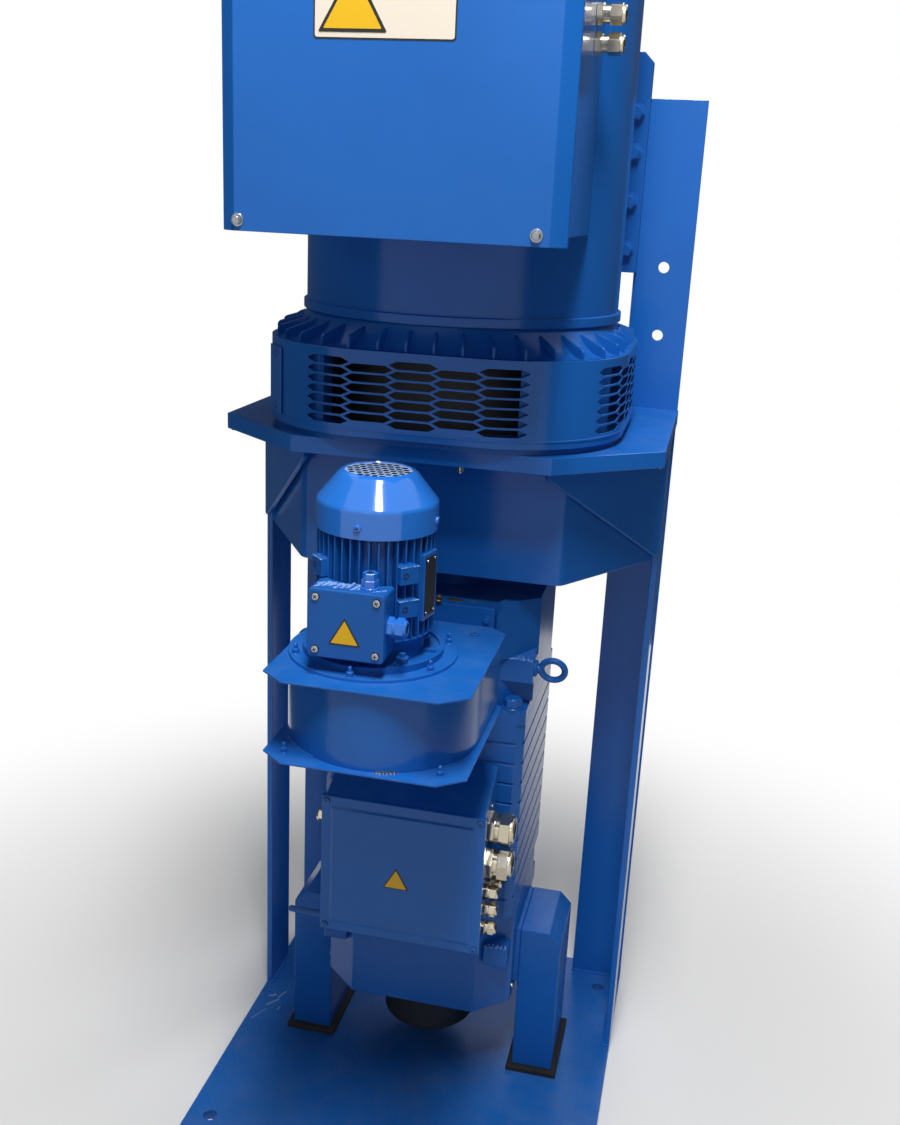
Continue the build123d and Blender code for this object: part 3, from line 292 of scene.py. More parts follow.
def cad_mesh(node: str) -> BMesh:
    """Return a CAD node's shape as a bmesh, with each flat face in one."""
    mesh = bmesh.new()
    mesh.from_mesh(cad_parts[node].data)
    ops.remove_doubles(mesh, verts=mesh.verts, dist=2e-6)
    ops.dissolve_limit(mesh, angle_limit=FLAT_ANGLE, verts=mesh.verts, edges=mesh.edges)
    return mesh


def sharp_edges(mesh: BMesh) -> list:
    """Return the edges of a bmesh where two faces meet over the sharp angle."""
    return [e for e in mesh.edges if len(e.link_faces) == 2 and e.calc_face_angle(0) > SHARP_ANGLE]


def bevel(mesh: BMesh, geom: list, edge_mm: float, segments: int, affect: str = "EDGES") -> None:
    """Round edges or corners of a bmesh.

    Args:
        mesh: The bmesh.
        geom: The edges or corners.
        edge_mm: Their radius.
        segments: Faces across each of them.
        affect: EDGES or VERTICES.
    """
    ops.bevel(mesh, geom=geom, offset=edge_mm * MM, offset_type="OFFSET", segments=segments, profile=0.5,
              affect=affect, clamp_overlap=True, material=-1)


def soften(node: str, finish: Finish, edge_mm: float, segments: int) -> None:
    """Stand a copy of a CAD node in its place, with the edges rounded as paint rounds them.

    Args:
        node: The CAD node.
        finish: The finish of the new piece.
        edge_mm: The radius of the rounded edges.
        segments: Faces across each rounded edge.
    """
    mesh = cad_mesh(node)
    bevel(mesh, sharp_edges(mesh), edge_mm, segments)
    finish_piece(f"{node}_skin", mesh, finish, replaces=(node,))


def pose(spot: tuple | Vector, axis: tuple | Vector, turn: float = 0, scale: float = 1) -> Matrix:
    """Return the matrix that stands a shape's +Z on an axis at a point.

    Args:
        spot: The point in millimetres.
        axis: The direction that +Z takes.
        turn: How far the shape is turned about its own axis first, in radians.
        scale: Its size.
    """
    lean = Vector(UP).rotation_difference(Vector(axis).normalized()).to_matrix().to_4x4()
    return (Matrix.Translation(Vector(spot) * MM) @ lean @ Matrix.Rotation(turn, 4, "Z")
            @ Matrix.Scale(scale, 4))


def stamp(target: BMesh, shape: BMesh, turns: list[Matrix]) -> None:
    """Add copies of a finished shape to a bmesh.

    Args:
        target: The bmesh that takes the copies.
        shape: The shape, in metres about its own origin. It is freed.
        turns: One matrix for each copy.
    """
    ops.recalc_face_normals(shape, faces=shape.faces)
    data = bpy.data.meshes.new("stamp")
    shape.to_mesh(data)
    shape.free()
    for turn in turns:
        copy = data.copy()
        copy.transform(turn)
        target.from_mesh(copy)
        bpy.data.meshes.remove(copy)
    bpy.data.meshes.remove(data)


def lathe(mesh: BMesh, profile: list[Pair], steps: int, closed: bool = False,
          stand: Matrix = Matrix()) -> None:
    """Spin an outline about Z.

    Args:
        mesh: The bmesh that takes the shape.
        profile: Points (radius, height) in millimetres. Its ends lie on the axis or meet.
        steps: Faces round the axis.
        closed: Whether the last point joins the first.
        stand: Where the shape stands.
    """
    shape = bmesh.new()
    verts = [shape.verts.new((r * MM, 0, z * MM)) for r, z in profile]
    edges = [shape.edges.new(pair) for pair in zip(verts, verts[1:] + (verts[:1] if closed else []))]
    ops.spin(shape, geom=verts + edges, cent=(0, 0, 0), axis=UP, angle=2 * pi, steps=steps, use_merge=True)
    ops.remove_doubles(shape, verts=shape.verts, dist=1e-7)
    stamp(mesh, shape, [stand])


def turned(name: str, profile: list[Pair], finish: Finish, steps: int, closed: bool = False,
           stand: Matrix = Matrix(), **settings) -> Object:
    """Turn a whole piece on the lathe.

    Args:
        name: The piece's name.
        profile: Its outline, as lathe takes it, with steps, closed and stand.
        finish: Its finish.
        **settings: What else finish_piece takes.

    Returns:
        The new object.
    """
    mesh = bmesh.new()
    lathe(mesh, profile, steps, closed, stand)
    return finish_piece(name, mesh, finish, **settings)


def hexagon_block(mesh: BMesh, across_mm: float, low_mm: float, high_mm: float,
                  bevel_mm: float = 0.8) -> None:
    """Make a hexagonal prism along Z with rounded edges.

    Args:
        mesh: The bmesh that takes the shape.
        across_mm: Width across its flats.
        low_mm: Lower end.
        high_mm: Upper end.
        bevel_mm: Radius of its edges.
    """
    shape = bmesh.new()
    radius = across_mm / sqrt(3) * MM
    ops.create_cone(shape, cap_ends=True, segments=6, radius1=radius, radius2=radius,
                    depth=(high_mm - low_mm) * MM)
    bevel(shape, list(shape.edges), bevel_mm, 1)
    stamp(mesh, shape, [pose((0, 0, (high_mm + low_mm) / 2), UP)])


def slab(mesh: BMesh, low: tuple, high: tuple, edge_mm: float, segments: int = 2,
         stand: Matrix = Matrix()) -> None:
    """Make a block between two corners, with rounded edges.

    Args:
        mesh: The bmesh that takes the block.
        low: Its lowest corner in millimetres.
        high: Its highest corner in millimetres.
        edge_mm: Radius of the edges.
        segments: Faces across each edge.
        stand: Where the block stands.
    """
    shape = bmesh.new()
    ops.create_cube(shape, size=1)
    ops.scale(shape, vec=[(b - a) * MM for a, b in zip(low, high)], verts=shape.verts)
    ops.translate(shape, vec=[(a + b) / 2 * MM for a, b in zip(low, high)], verts=shape.verts)
    bevel(shape, list(shape.edges), edge_mm, segments)
    stamp(mesh, shape, [stand])


def cut_holes(piece: Object, cutter: BMesh) -> None:
    """Cut the shapes of a bmesh out of a piece.

    Args:
        piece: The piece that gets the holes.
        cutter: The shapes, in metres. It is freed.
    """
    ops.recalc_face_normals(cutter, faces=cutter.faces)
    tool = new_object("cutter", cutter)
    modifier = piece.modifiers.new("holes", "BOOLEAN")
    modifier.operation = "DIFFERENCE"
    modifier.solver = "EXACT"
    modifier.object = tool
    bpy.context.view_layer.update()
    graph = bpy.context.evaluated_depsgraph_get()
    cut = bpy.data.meshes.new_from_object(piece.evaluated_get(graph))
    piece.modifiers.clear()
    material = piece.data.materials[0]
    piece.data = cut
    if not cut.materials:
        cut.materials.append(material)
    spare = tool.data
    bpy.data.objects.remove(tool)
    bpy.data.meshes.remove(spare)
    LOG.info("%s: %d faces after its holes", piece.name, len(cut.polygons))


def level_way(degrees: float) -> Vector:
    """Return the level direction at an angle from +X."""
    return Vector((cos(radians(degrees)), sin(radians(degrees)), 0))


def arc_points(centre: Pair, radius: float, z_mm: float, degrees: list[float]) -> list[tuple]:
    """Return points of a level arc, one for each angle in degrees."""
    x, y = centre
    return [(x + radius * cos(radians(a)), y + radius * sin(radians(a)), z_mm) for a in degrees]


# Fasteners, glands, welds and plates


@dataclass(frozen=True)
class Bolt:
    """A hexagon bolt or nut with its washer, standing along its axis."""

    across: float
    head: float
    washer: float
    washer_height: float
    stud: float = 0
    stud_radius: float = 0

    def build(self, mesh: BMesh) -> None:
        """Shape one bolt along +Z from the surface that it is screwed onto."""
        low, rim = self.washer_height, self.washer_height * 0.3
        lathe(mesh, [(0, 0), (self.washer, 0), (self.washer, low - rim), (self.washer - rim, low),
                     (0, low)], 28)
        top = low + self.head
        hexagon_block(mesh, self.across, low, top)
        crown = top + self.head * 0.10
        lathe(mesh, [(0, top - 0.2), (self.across * 0.46, top - 0.2), (self.across * 0.40, crown),
                     (0, crown)], 20)
        if self.stud:
            end = top + self.stud
            lathe(mesh, [(0, top), (self.stud_radius, top), (self.stud_radius, end),
                         (self.stud_radius * 0.7, end + 0.8), (0, end + 0.8)], 16)


@dataclass(frozen=True)
class Screw:
    """A pan-head screw; the dark cross in its head and the ring round its rim are painted shade."""

    radius: float
    height: float

    def build(self, mesh: BMesh) -> None:
        """Shape one screw head along +Z."""
        r, h = self.radius, self.height
        lathe(mesh, [(0, -0.3), (r, -0.3), (r, h * 0.4), (r * 0.93, h * 0.72), (r * 0.74, h * 0.93),
                     (r * 0.5, h), (0, h)], 24)

    def painted_recess_shade(self, mesh: BMesh) -> None:
        """Shape the dark cross that stands for the socket in the head, and the dark ring round its rim: both
        painted shade.
        """
        r, h = self.radius, self.height
        for turn in (0, pi / 2):
            slab(mesh, (-r * 0.55, -r * 0.13, h - 0.4), (r * 0.55, r * 0.13, h + 0.06), 0.1, 1,
                 Matrix.Rotation(turn, 4, "Z"))
        lathe(mesh, [(r * 0.9, -0.2), (r * 1.16, -0.2), (r * 1.16, 0.12), (r * 0.9, 0.12)], 24, closed=True)


def fasteners(name: str, kind: Bolt | Screw, spots: list, axis: tuple | Vector, finish: Finish) -> None:
    """Make one piece of several like fasteners.

    Args:
        name: The piece's name.
        kind: The fastener.
        spots: Places in millimetres.
        axis: The direction that all of them face.
        finish: Their finish.
    """
    first, step = HEAD_TURNS
    poses = [pose(spot, axis, first + step * number) for number, spot in enumerate(spots)]
    shapers = {name: (kind.build, finish)}
    # Screws also get a dark cross and rim ring: painted shade
    if isinstance(kind, Screw):
        shapers[f"{name}_recess"] = (kind.painted_recess_shade, DARK_IRON_AND_PAINTED_SHADE)
    for part, (shaper, coat) in shapers.items():
        mesh, shape = bmesh.new(), bmesh.new()
        shaper(shape)
        stamp(mesh, shape, poses)
        finish_piece(part, mesh, coat)


@dataclass(frozen=True)
class Gland:
    """A cable gland: nut on the wall, neck, dome nut and rubber seal."""

    radius: float
    nut: float
    length: float

    def metal(self, mesh: BMesh) -> None:
        """Shape the plated or painted parts along +Z from the wall."""
        across = self.radius * sqrt(3)
        neck = self.radius * 0.84
        low = self.length * 0.46
        flats = low + (self.length - low) * 0.74
        hexagon_block(mesh, across, 0, self.nut, 0.5)
        lathe(mesh, [(0, self.nut - 0.5), (neck, self.nut - 0.5), (neck, self.nut + 1.2),
                     (neck * 0.95, self.nut + 1.7), (neck * 0.95, low - 1.2), (neck, low - 0.8),
                     (neck, low + 0.5), (0, low + 0.5)], 32)
        hexagon_block(mesh, across, low, flats, 0.5)
        lathe(mesh, [(neck * 0.60, low), (neck, low), (neck, flats + 0.6), (neck * 0.93, self.length - 1.4),
                     (neck * 0.82, self.length), (neck * 0.60, self.length)], 32, closed=True)

    def rubber(self, mesh: BMesh) -> None:
        """Shape the seal that shows in the gland's mouth."""
        dome, low, end = self.radius * 0.82, self.length * 0.6, self.length
        lathe(mesh, [(0, low), (dome * 0.62, low), (dome * 0.62, end - 1.2), (dome * 0.52, end - 0.4),
                     (dome * 0.44, end - 1.2), (dome * 0.38, end - 4), (0, end - 4)], 28)


@dataclass(frozen=True)
class Plug(Gland):
    """A blind plug: a flat collar with two hexagons above it."""

    def metal(self, mesh: BMesh) -> None:
        """Shape the plug along +Z from the wall."""
        across = self.radius * sqrt(3)
        step = self.nut + (self.length - self.nut) * 0.55
        lathe(mesh, [(0, 0), (self.radius * 1.04, 0), (self.radius * 1.04, self.nut - 1),
                     (self.radius * 0.98, self.nut), (0, self.nut)], 32)
        hexagon_block(mesh, across * 0.98, self.nut, step - 1, 0.5)
        hexagon_block(mesh, across * 0.84, step - 0.8, self.length, 0.5)

    def rubber(self, mesh: BMesh) -> None:
        """Shape the dark disc on the plug's top: painted shade for its bore."""
        bore, end = self.radius * 0.36, self.length
        lathe(mesh, [(0, end - 2), (bore, end - 2), (bore, end + 0.1), (0, end + 0.1)], 20)


def glands(name: str, rows: list[tuple], finish: Finish, stands_for: str) -> None:
    """Make a group of glands in place of their CAD node.

    Args:
        name: The group's name.
        rows: For each gland its kind, its place in millimetres and its axis.
        finish: The finish of the metal parts.
        stands_for: The CAD node.
    """
    metal, seal = bmesh.new(), bmesh.new()
    first, step = GLAND_TURNS
    for number, (kind, spot, axis) in enumerate(rows):
        for target, shaper in ((metal, kind.metal), (seal, kind.rubber)):
            shape = bmesh.new()
            shaper(shape)
            stamp(target, shape, [pose(spot, axis, first + step * number)])
    finish_piece(name, metal, finish, replaces=(stands_for,))
    # The plug's dark disc among the seals is painted shade for its bore
    finish_piece(f"{name}_seals_and_painted_bores", seal, PAD_RUBBER_AND_PAINTED_SHADE)


def weld(name: str, runs: list[list[tuple]], radius_mm: float, finish: Finish, pitch_mm: float = 0) -> None:
    """Lay weld beads along runs, ripple by ripple.

    Args:
        name: The piece's name.
        runs: Lists of points in millimetres; each list is one bead.
        radius_mm: The bead's radius.
        finish: Its finish.
        pitch_mm: Distance between ripples, or 0 for one that suits the radius.
    """
    ripples = []
    pitch = pitch_mm or radius_mm * 1.05
    for run in runs:
        for begin, end in zip(run, run[1:]):
            a, b = Vector(begin), Vector(end)
            count = max(int((b - a).length / pitch), 1)
            for step in range(count):
                swell = 1 + 0.10 * sin(2.7 * step) + 0.06 * sin(7.1 * step)
                ripples.append(pose(a.lerp(b, (step + 0.5) / count), UP, scale=swell))
    mesh, ripple = bmesh.new(), bmesh.new()
    ops.create_uvsphere(ripple, u_segments=8, v_segments=5, radius=radius_mm * MM)
    stamp(mesh, ripple, ripples)
    finish_piece(name, mesh, finish)


def crust(name: str, patches: list[tuple], grain_mm: float) -> None:
    """Scatter a casting's rough flash over small patches, each grain of another size; the grains are coloured
    pale as a painted highlight.

    Args:
        name: The piece's name.
        patches: For each patch a corner, its two sides in millimetres and its number of grains.
        grain_mm: The radius of a usual grain.
    """
    chance = random.Random(CRUST_SEED)
    mesh, grain, turns = bmesh.new(), bmesh.new(), []
    ops.create_icosphere(grain, subdivisions=1, radius=MM)
    for corner, along, across, count in patches:
        for _ in range(count):
            spot = Vector(corner) + Vector(along) * chance.random() + Vector(across) * chance.random() ** 1.6
            size = grain_mm * (0.45 + 0.8 * chance.random() ** 2)
            stretch = Matrix.Diagonal((1 + 0.9 * chance.random(), 0.8, 0.55, 1))
            turns.append(pose(spot, UP, 2 * pi * chance.random(), size) @ stretch)
    stamp(mesh, grain, turns)
    finish_piece(name, mesh, FLASH_ENAMEL_PAINTED_HIGHLIGHT, smooth=False)


def flat_plate(name: str, outline: list[Pair], y_mm: float, thick_mm: float,
               finish: Finish, round_mm: float) -> None:
    """Make a thin plate lying on a front face.

    Args:
        name: The piece's name.
        outline: Its corners (x, z) in millimetres.
        y_mm: The face that it lies on.
        thick_mm: How far it stands proud towards the front.
        finish: Its finish.
        round_mm: Radius of its corners.
    """
    mesh = bmesh.new()
    face = mesh.faces.new([mesh.verts.new((x * MM, y_mm * MM, z * MM)) for x, z in outline])
    bevel(mesh, list(face.verts), round_mm, 5, "VERTICES")
    out = ops.extrude_face_region(mesh, geom=list(mesh.faces))
    moved = [v for v in out["geom"] if isinstance(v, BMVert)]
    ops.translate(mesh, vec=(0, -thick_mm * MM, 0), verts=moved)
    finish_piece(name, mesh, finish)


def triangle_sign(name: str, middle_x: float, base_z: float, side: float, y_mm: float) -> None:
    """Fix a plain yellow triangle with a dark border on a front face.

    Args:
        name: The first part of the two pieces' names.
        middle_x: The middle of its base.
        base_z: The height of its base.
        side: The length of its sides.
        y_mm: The face that it lies on.
    """
    border = side * 0.045
    for part, inset, face_y, thick, finish, corner in (
        ("border", 0, y_mm, 0.5, BLACK_PLATE, side * 0.03),
        ("face", border, y_mm - 0.5, 0.3, YELLOW_PLATE, side * 0.02),
    ):
        half, top = side / 2 - inset * 1.73, base_z + side * sqrt(3) / 2 - 2 * inset
        outline = [(middle_x - half, base_z + inset), (middle_x + half, base_z + inset), (middle_x, top)]
        flat_plate(f"{name}_{part}", outline, face_y, thick, finish, corner)


# Sub-assemblies


@dataclass
class Assembly:
    """One sub-assembly.

    Each row of its skins gives a finish, an edge radius in millimetres, the faces across each
    edge and the CAD nodes that are dressed so.
    """

    skins: tuple = ()

    def build(self) -> None:
        """Dress the CAD nodes, then add what stands over them."""
        for finish, edge_mm, segments, nodes in self.skins:
            for node in nodes.split():
                soften(node, finish, edge_mm, segments)
        self.details()

    def details(self) -> None:
        """Add the fasteners and other small parts."""


@dataclass
class Frame(Assembly):
    """The welded frame: base, deck, legs, posts, skirt, gussets and ties."""

    skins: tuple = (
        (ENAMEL, 1.2, 2, "deck_plate front_leg_left front_leg_right rear_post_left rear_post_right"),
        (ENAMEL, 1.2, 2, "gusset_left gusset_right rear_ties"),
        (SCUFFED_ENAMEL, 1.2, 2, "base_plate"),
        (ENAMEL, 0.8, 2, "skirt"),
    )
    bead: float = 3.2
    leg_x: Pair = (349, 358)
    leg_y: Pair = (38, 138)
    post_x: Pair = (257, 357)
    post_y: Pair = (265, 277)
    gusset_x: float = 354
    gusset_y: Pair = (-134, 36)
    base_top: float = 20
    deck_low: float = 1230
    tie_z: tuple = ((1029, 1230), (1500, 1795))
    tie_bead_inset: float = 6
    foot_bolt_x: float = 240
    foot_bar_y: float = 243
    foot_bolt_z: tuple = (1540, 1622, 1704, 1770)
    ring_radius: float = 256
    ring_start: int = -76
    nut_seen_y: Pair = (-150, 250)
    # Middle x and y, length, width and the turn in radians of each scratch
    scratch_rows: tuple = ((-324, -22, 30, 3.4, 0.9), (-314, 6, 26, 2.6, 1.2), (-332, -2, 16, 4.2, 0.5),
                           (-306, -38, 14, 2.2, 1.4), (-338, -64, 40, 1.4, 1.1))

    def details(self) -> None:
        """Weld and bolt the frame, and scratch its base."""
        self.welds()
        self.bolts()
        self.scratches()

    def scratches(self) -> None:
        """Lay bare the scratches near the base plate's left edge."""
        mesh = bmesh.new()
        for x, y, length, width, turn in self.scratch_rows:
            slab(mesh, (-length / 2, -width / 2, -0.2), (length / 2, width / 2, 0.05), 0.02, 1,
                 pose((x, y, self.base_top), UP, turn))
        finish_piece("base_scratches", mesh, BARE_SCUFF)

    def welds(self) -> None:
        """Weld the legs and posts to the base and the deck, and the ties to the posts."""
        low, high = self.base_top + 1, self.deck_low - 1
        (leg_in, leg_out), (front, rear) = self.leg_x, self.leg_y
        (post_in, post_out), (post_front, post_rear) = self.post_x, self.post_y
        runs = []
        for z in (low, high):
            runs.append([(leg_in - 1, front - 1, z), (leg_in - 1, rear, z)])
            runs.append([(leg_in, front - 1, z), (leg_out, front - 1, z)])
        for y in (post_front - 1, post_rear + 1):
            runs.append([(post_in, y, low), (post_out, y, low)])
        for foot, head in self.tie_z:
            runs.append([(post_in, post_rear, foot + self.tie_bead_inset),
                         (post_in, post_rear, head - self.tie_bead_inset)])
        runs.append([(self.gusset_x, y, high) for y in self.gusset_y])
        both = [[(side * x, y, z) for x, y, z in run] for side in SIDES for run in runs]
        weld("frame_welds", both, self.bead, ENAMEL)

    def bolts(self) -> None:
        """Bolt the generator's feet to the upper tie and its ring to the deck."""
        for name, kind, y, axis, finish in (
            ("foot_bolts", Bolt(24, 12, 16, 2.5), self.foot_bar_y, FRONT, ENAMEL),
            ("foot_nuts", Bolt(24, 13, 16, 2.5, 5, 8), self.post_y[1], REAR, ZINC),
        ):
            fasteners(name, kind, [(side * self.foot_bolt_x, y, z) for side in SIDES
                                   for z in self.foot_bolt_z], axis, finish)
        ring = arc_points((0, 0), self.ring_radius, self.deck_low,
                          [self.ring_start + 30 * k for k in range(12)])
        near, far = self.nut_seen_y
        fasteners("deck_ring_nuts", Bolt(13, 8, 9, 1.6, 3, 4),
                  [ring[0]] + [spot for spot in ring if near < spot[1] < far], DOWN, ZINC)


@dataclass
class Generator(Assembly):
    """The generator: casing, finned bracket, air screen, end shield and main box."""

    skins: tuple = (
        (ENAMEL, 1, 2, "generator_casing screen_strap"),
        (CAST_ENAMEL, 1, 1, "drive_end_cage"),
        (ENAMEL, 0.5, 1, "air_screen"),
        (CAST_ENAMEL, 1.5, 2, "end_shield generator_foot_left generator_foot_right"),
        (ENAMEL, 1.5, 2, "main_box"),
        (ENAMEL, 1.2, 2, "main_box_lid"),
    )
    lid_y: float = -472
    lid_bolt_x: Pair = (-202, 191)
    lid_bolt_z: Pair = (1576, 2068)
    plate_x: Pair = (-101, 79)
    plate_z: Pair = (1795, 1907)
    sign_x: float = -51
    sign_side: float = 88
    gland: Gland = Gland(15, 9, 40)
    gland_z: Pair = (1859, 1822)
    gland_y: float = -245
    box_side_x: float = 218
    rim_z: float = 2119
    rim_bolt_radius: float = 249
    casing_radius: float = 257
    foot_weld_x: Pair = (217, 235)
    foot_weld_z: Pair = (1504, 1864)
    strap_angle: float = 217
    strap_screw_z: Pair = (1290, 1371)
    strap_face: float = 5.3
    lip_z: float = 1396
    lip_half: float = 286
    lip_round: float = 200
    toe_start: float = 8.5
    toe_step: float = 4
    toe_share: float = 0.72
    toe_longest: float = 8
    flare_neck: float = 256
    flare_span: float = 28
    flare_rise: float = 38
    flare_curve: float = 2.3
    flare_inset: float = 3.5

    def details(self) -> None:
        """Round and fill the drive end, then add the glands, bolts, plates and welds."""
        self.bracket()
        self.flare()
        glands("main_glands_dressed", [(self.gland, (self.box_side_x, self.gland_y, z), RIGHT)
                                       for z in self.gland_z], NICKEL, "main_glands")
        fasteners("main_lid_bolts", Bolt(11, 5.5, 8.5, 1.6),
                  [(x, self.lid_y, z) for z in self.lid_bolt_z for x in self.lid_bolt_x], FRONT, ZINC)
        self.plate()
        outward = level_way(self.strap_angle)
        middle = self.lip_half - self.lip_round
        fasteners("strap_screws", Screw(5.4, 3),
                  [Vector((-middle, -middle, z)) + outward * (self.lip_round + self.strap_face)
                   for z in self.strap_screw_z], outward, ENAMEL)
        rim = arc_points((0, 0), self.rim_bolt_radius, self.rim_z, [22.5 + 45 * k for k in range(8)])
        fasteners("rim_bolts", Bolt(17, 9, 12, 1.6), rim, UP, ENAMEL)
        runs = []
        for side in SIDES:
            for x in self.foot_weld_x:
                y = sqrt(self.casing_radius ** 2 - x ** 2) + 1
                runs.append([(side * x, y, z) for z in self.foot_weld_z])
        weld("casing_foot_welds", runs, 3, ENAMEL)

    def plate(self) -> None:
        """Fix the bare cream plate with its dark border and its plain triangle."""
        (left, right), (low, high) = self.plate_x, self.plate_z
        for part, inset, proud, thick, finish, corner in (
            ("border", 0, 0, 0.4, BLACK_PLATE, 4),
            ("face", 2, 0.4, 0.3, CREAM_PLATE, 3),
        ):
            outline = [(left + inset, low + inset), (right - inset, low + inset),
                       (right - inset, high - inset), (left + inset, high - inset)]
            flat_plate(f"lid_plate_{part}", outline, self.lid_y - proud, thick, finish, corner)
        triangle_sign("lid_triangle", self.sign_x, low + 8, self.sign_side, self.lid_y - 0.7)

    def bracket(self) -> None:
        """Round the fins' toes down to the lip, then soften the casting's lower edges."""
        mesh = cad_mesh("drive_end_bracket")
        for step in range(4):
            low = self.lip_z + self.toe_start + self.toe_step * step
            toes = [e for e in mesh.edges if self.is_toe(e)
                    and low < sum(v.co.z for v in e.verts) / 2 / MM <= low + self.toe_step]
            if toes:
                bevel(mesh, toes, (low - self.lip_z) * self.toe_share, 5)
            LOG.info("fin toes rounded: %d", len(toes))
        below = (self.lip_z + 0.5) * MM
        bevel(mesh, [e for e in sharp_edges(mesh) if min(v.co.z for v in e.verts) < below], 0.9, 1)
        ops.triangulate(mesh, faces=[f for f in mesh.faces if len(f.verts) > 4])
        finish_piece("drive_end_bracket_skin", mesh, CAST_ENAMEL, replaces=("drive_end_bracket",))

    def is_toe(self, edge: BMEdge) -> bool:
        """Tell whether a short edge parts a steep face that looks outward from a level one above."""
        if len(edge.link_faces) != 2 or edge.calc_length() > self.toe_longest * MM:
            return False
        middle = (edge.verts[0].co + edge.verts[1].co) / 2
        way = Vector((middle.x, middle.y, 0)).normalized()
        steep, level = sorted(edge.link_faces, key=lambda f: abs(f.normal.z))
        return abs(steep.normal.z) < 0.1 and steep.normal.dot(way) > 0.7 and level.normal.z > 0.5

    def flare(self) -> None:
        """Cast the hollow flare between the fins, round at the neck and square at the lip."""
        mesh = bmesh.new()
        neck, low, span = self.flare_neck, self.lip_z + 0.4, self.flare_span
        curve = [(neck + span * k / 12, low + self.flare_rise * (1 - k / 12) ** self.flare_curve)
                 for k in range(13)]
        lathe(mesh, curve + [(neck, low - 1)], 168, closed=True)
        for vert in mesh.verts:
            reach = hypot(vert.co.x, vert.co.y)
            edge = self.lip_reach(vert.co.x / reach, vert.co.y / reach) - self.flare_inset
            wanted = (neck + (reach / MM - neck) * (edge - neck) / span) * MM
            vert.co.x *= wanted / reach
            vert.co.y *= wanted / reach
        finish_piece("flare_between_fins", mesh, CAST_ENAMEL)

    def lip_reach(self, along_x: float, along_y: float) -> float:
        """Return how far the lip's edge lies from the axis in a direction, in millimetres."""
        far, near = max(abs(along_x), abs(along_y)), min(abs(along_x), abs(along_y))
        middle = self.lip_half - self.lip_round
        if self.lip_half * near / far <= middle:
            return self.lip_half / far
        inward = middle * (far + near)
        return inward + sqrt(max(inward ** 2 - 2 * middle ** 2 + self.lip_round ** 2, 0))


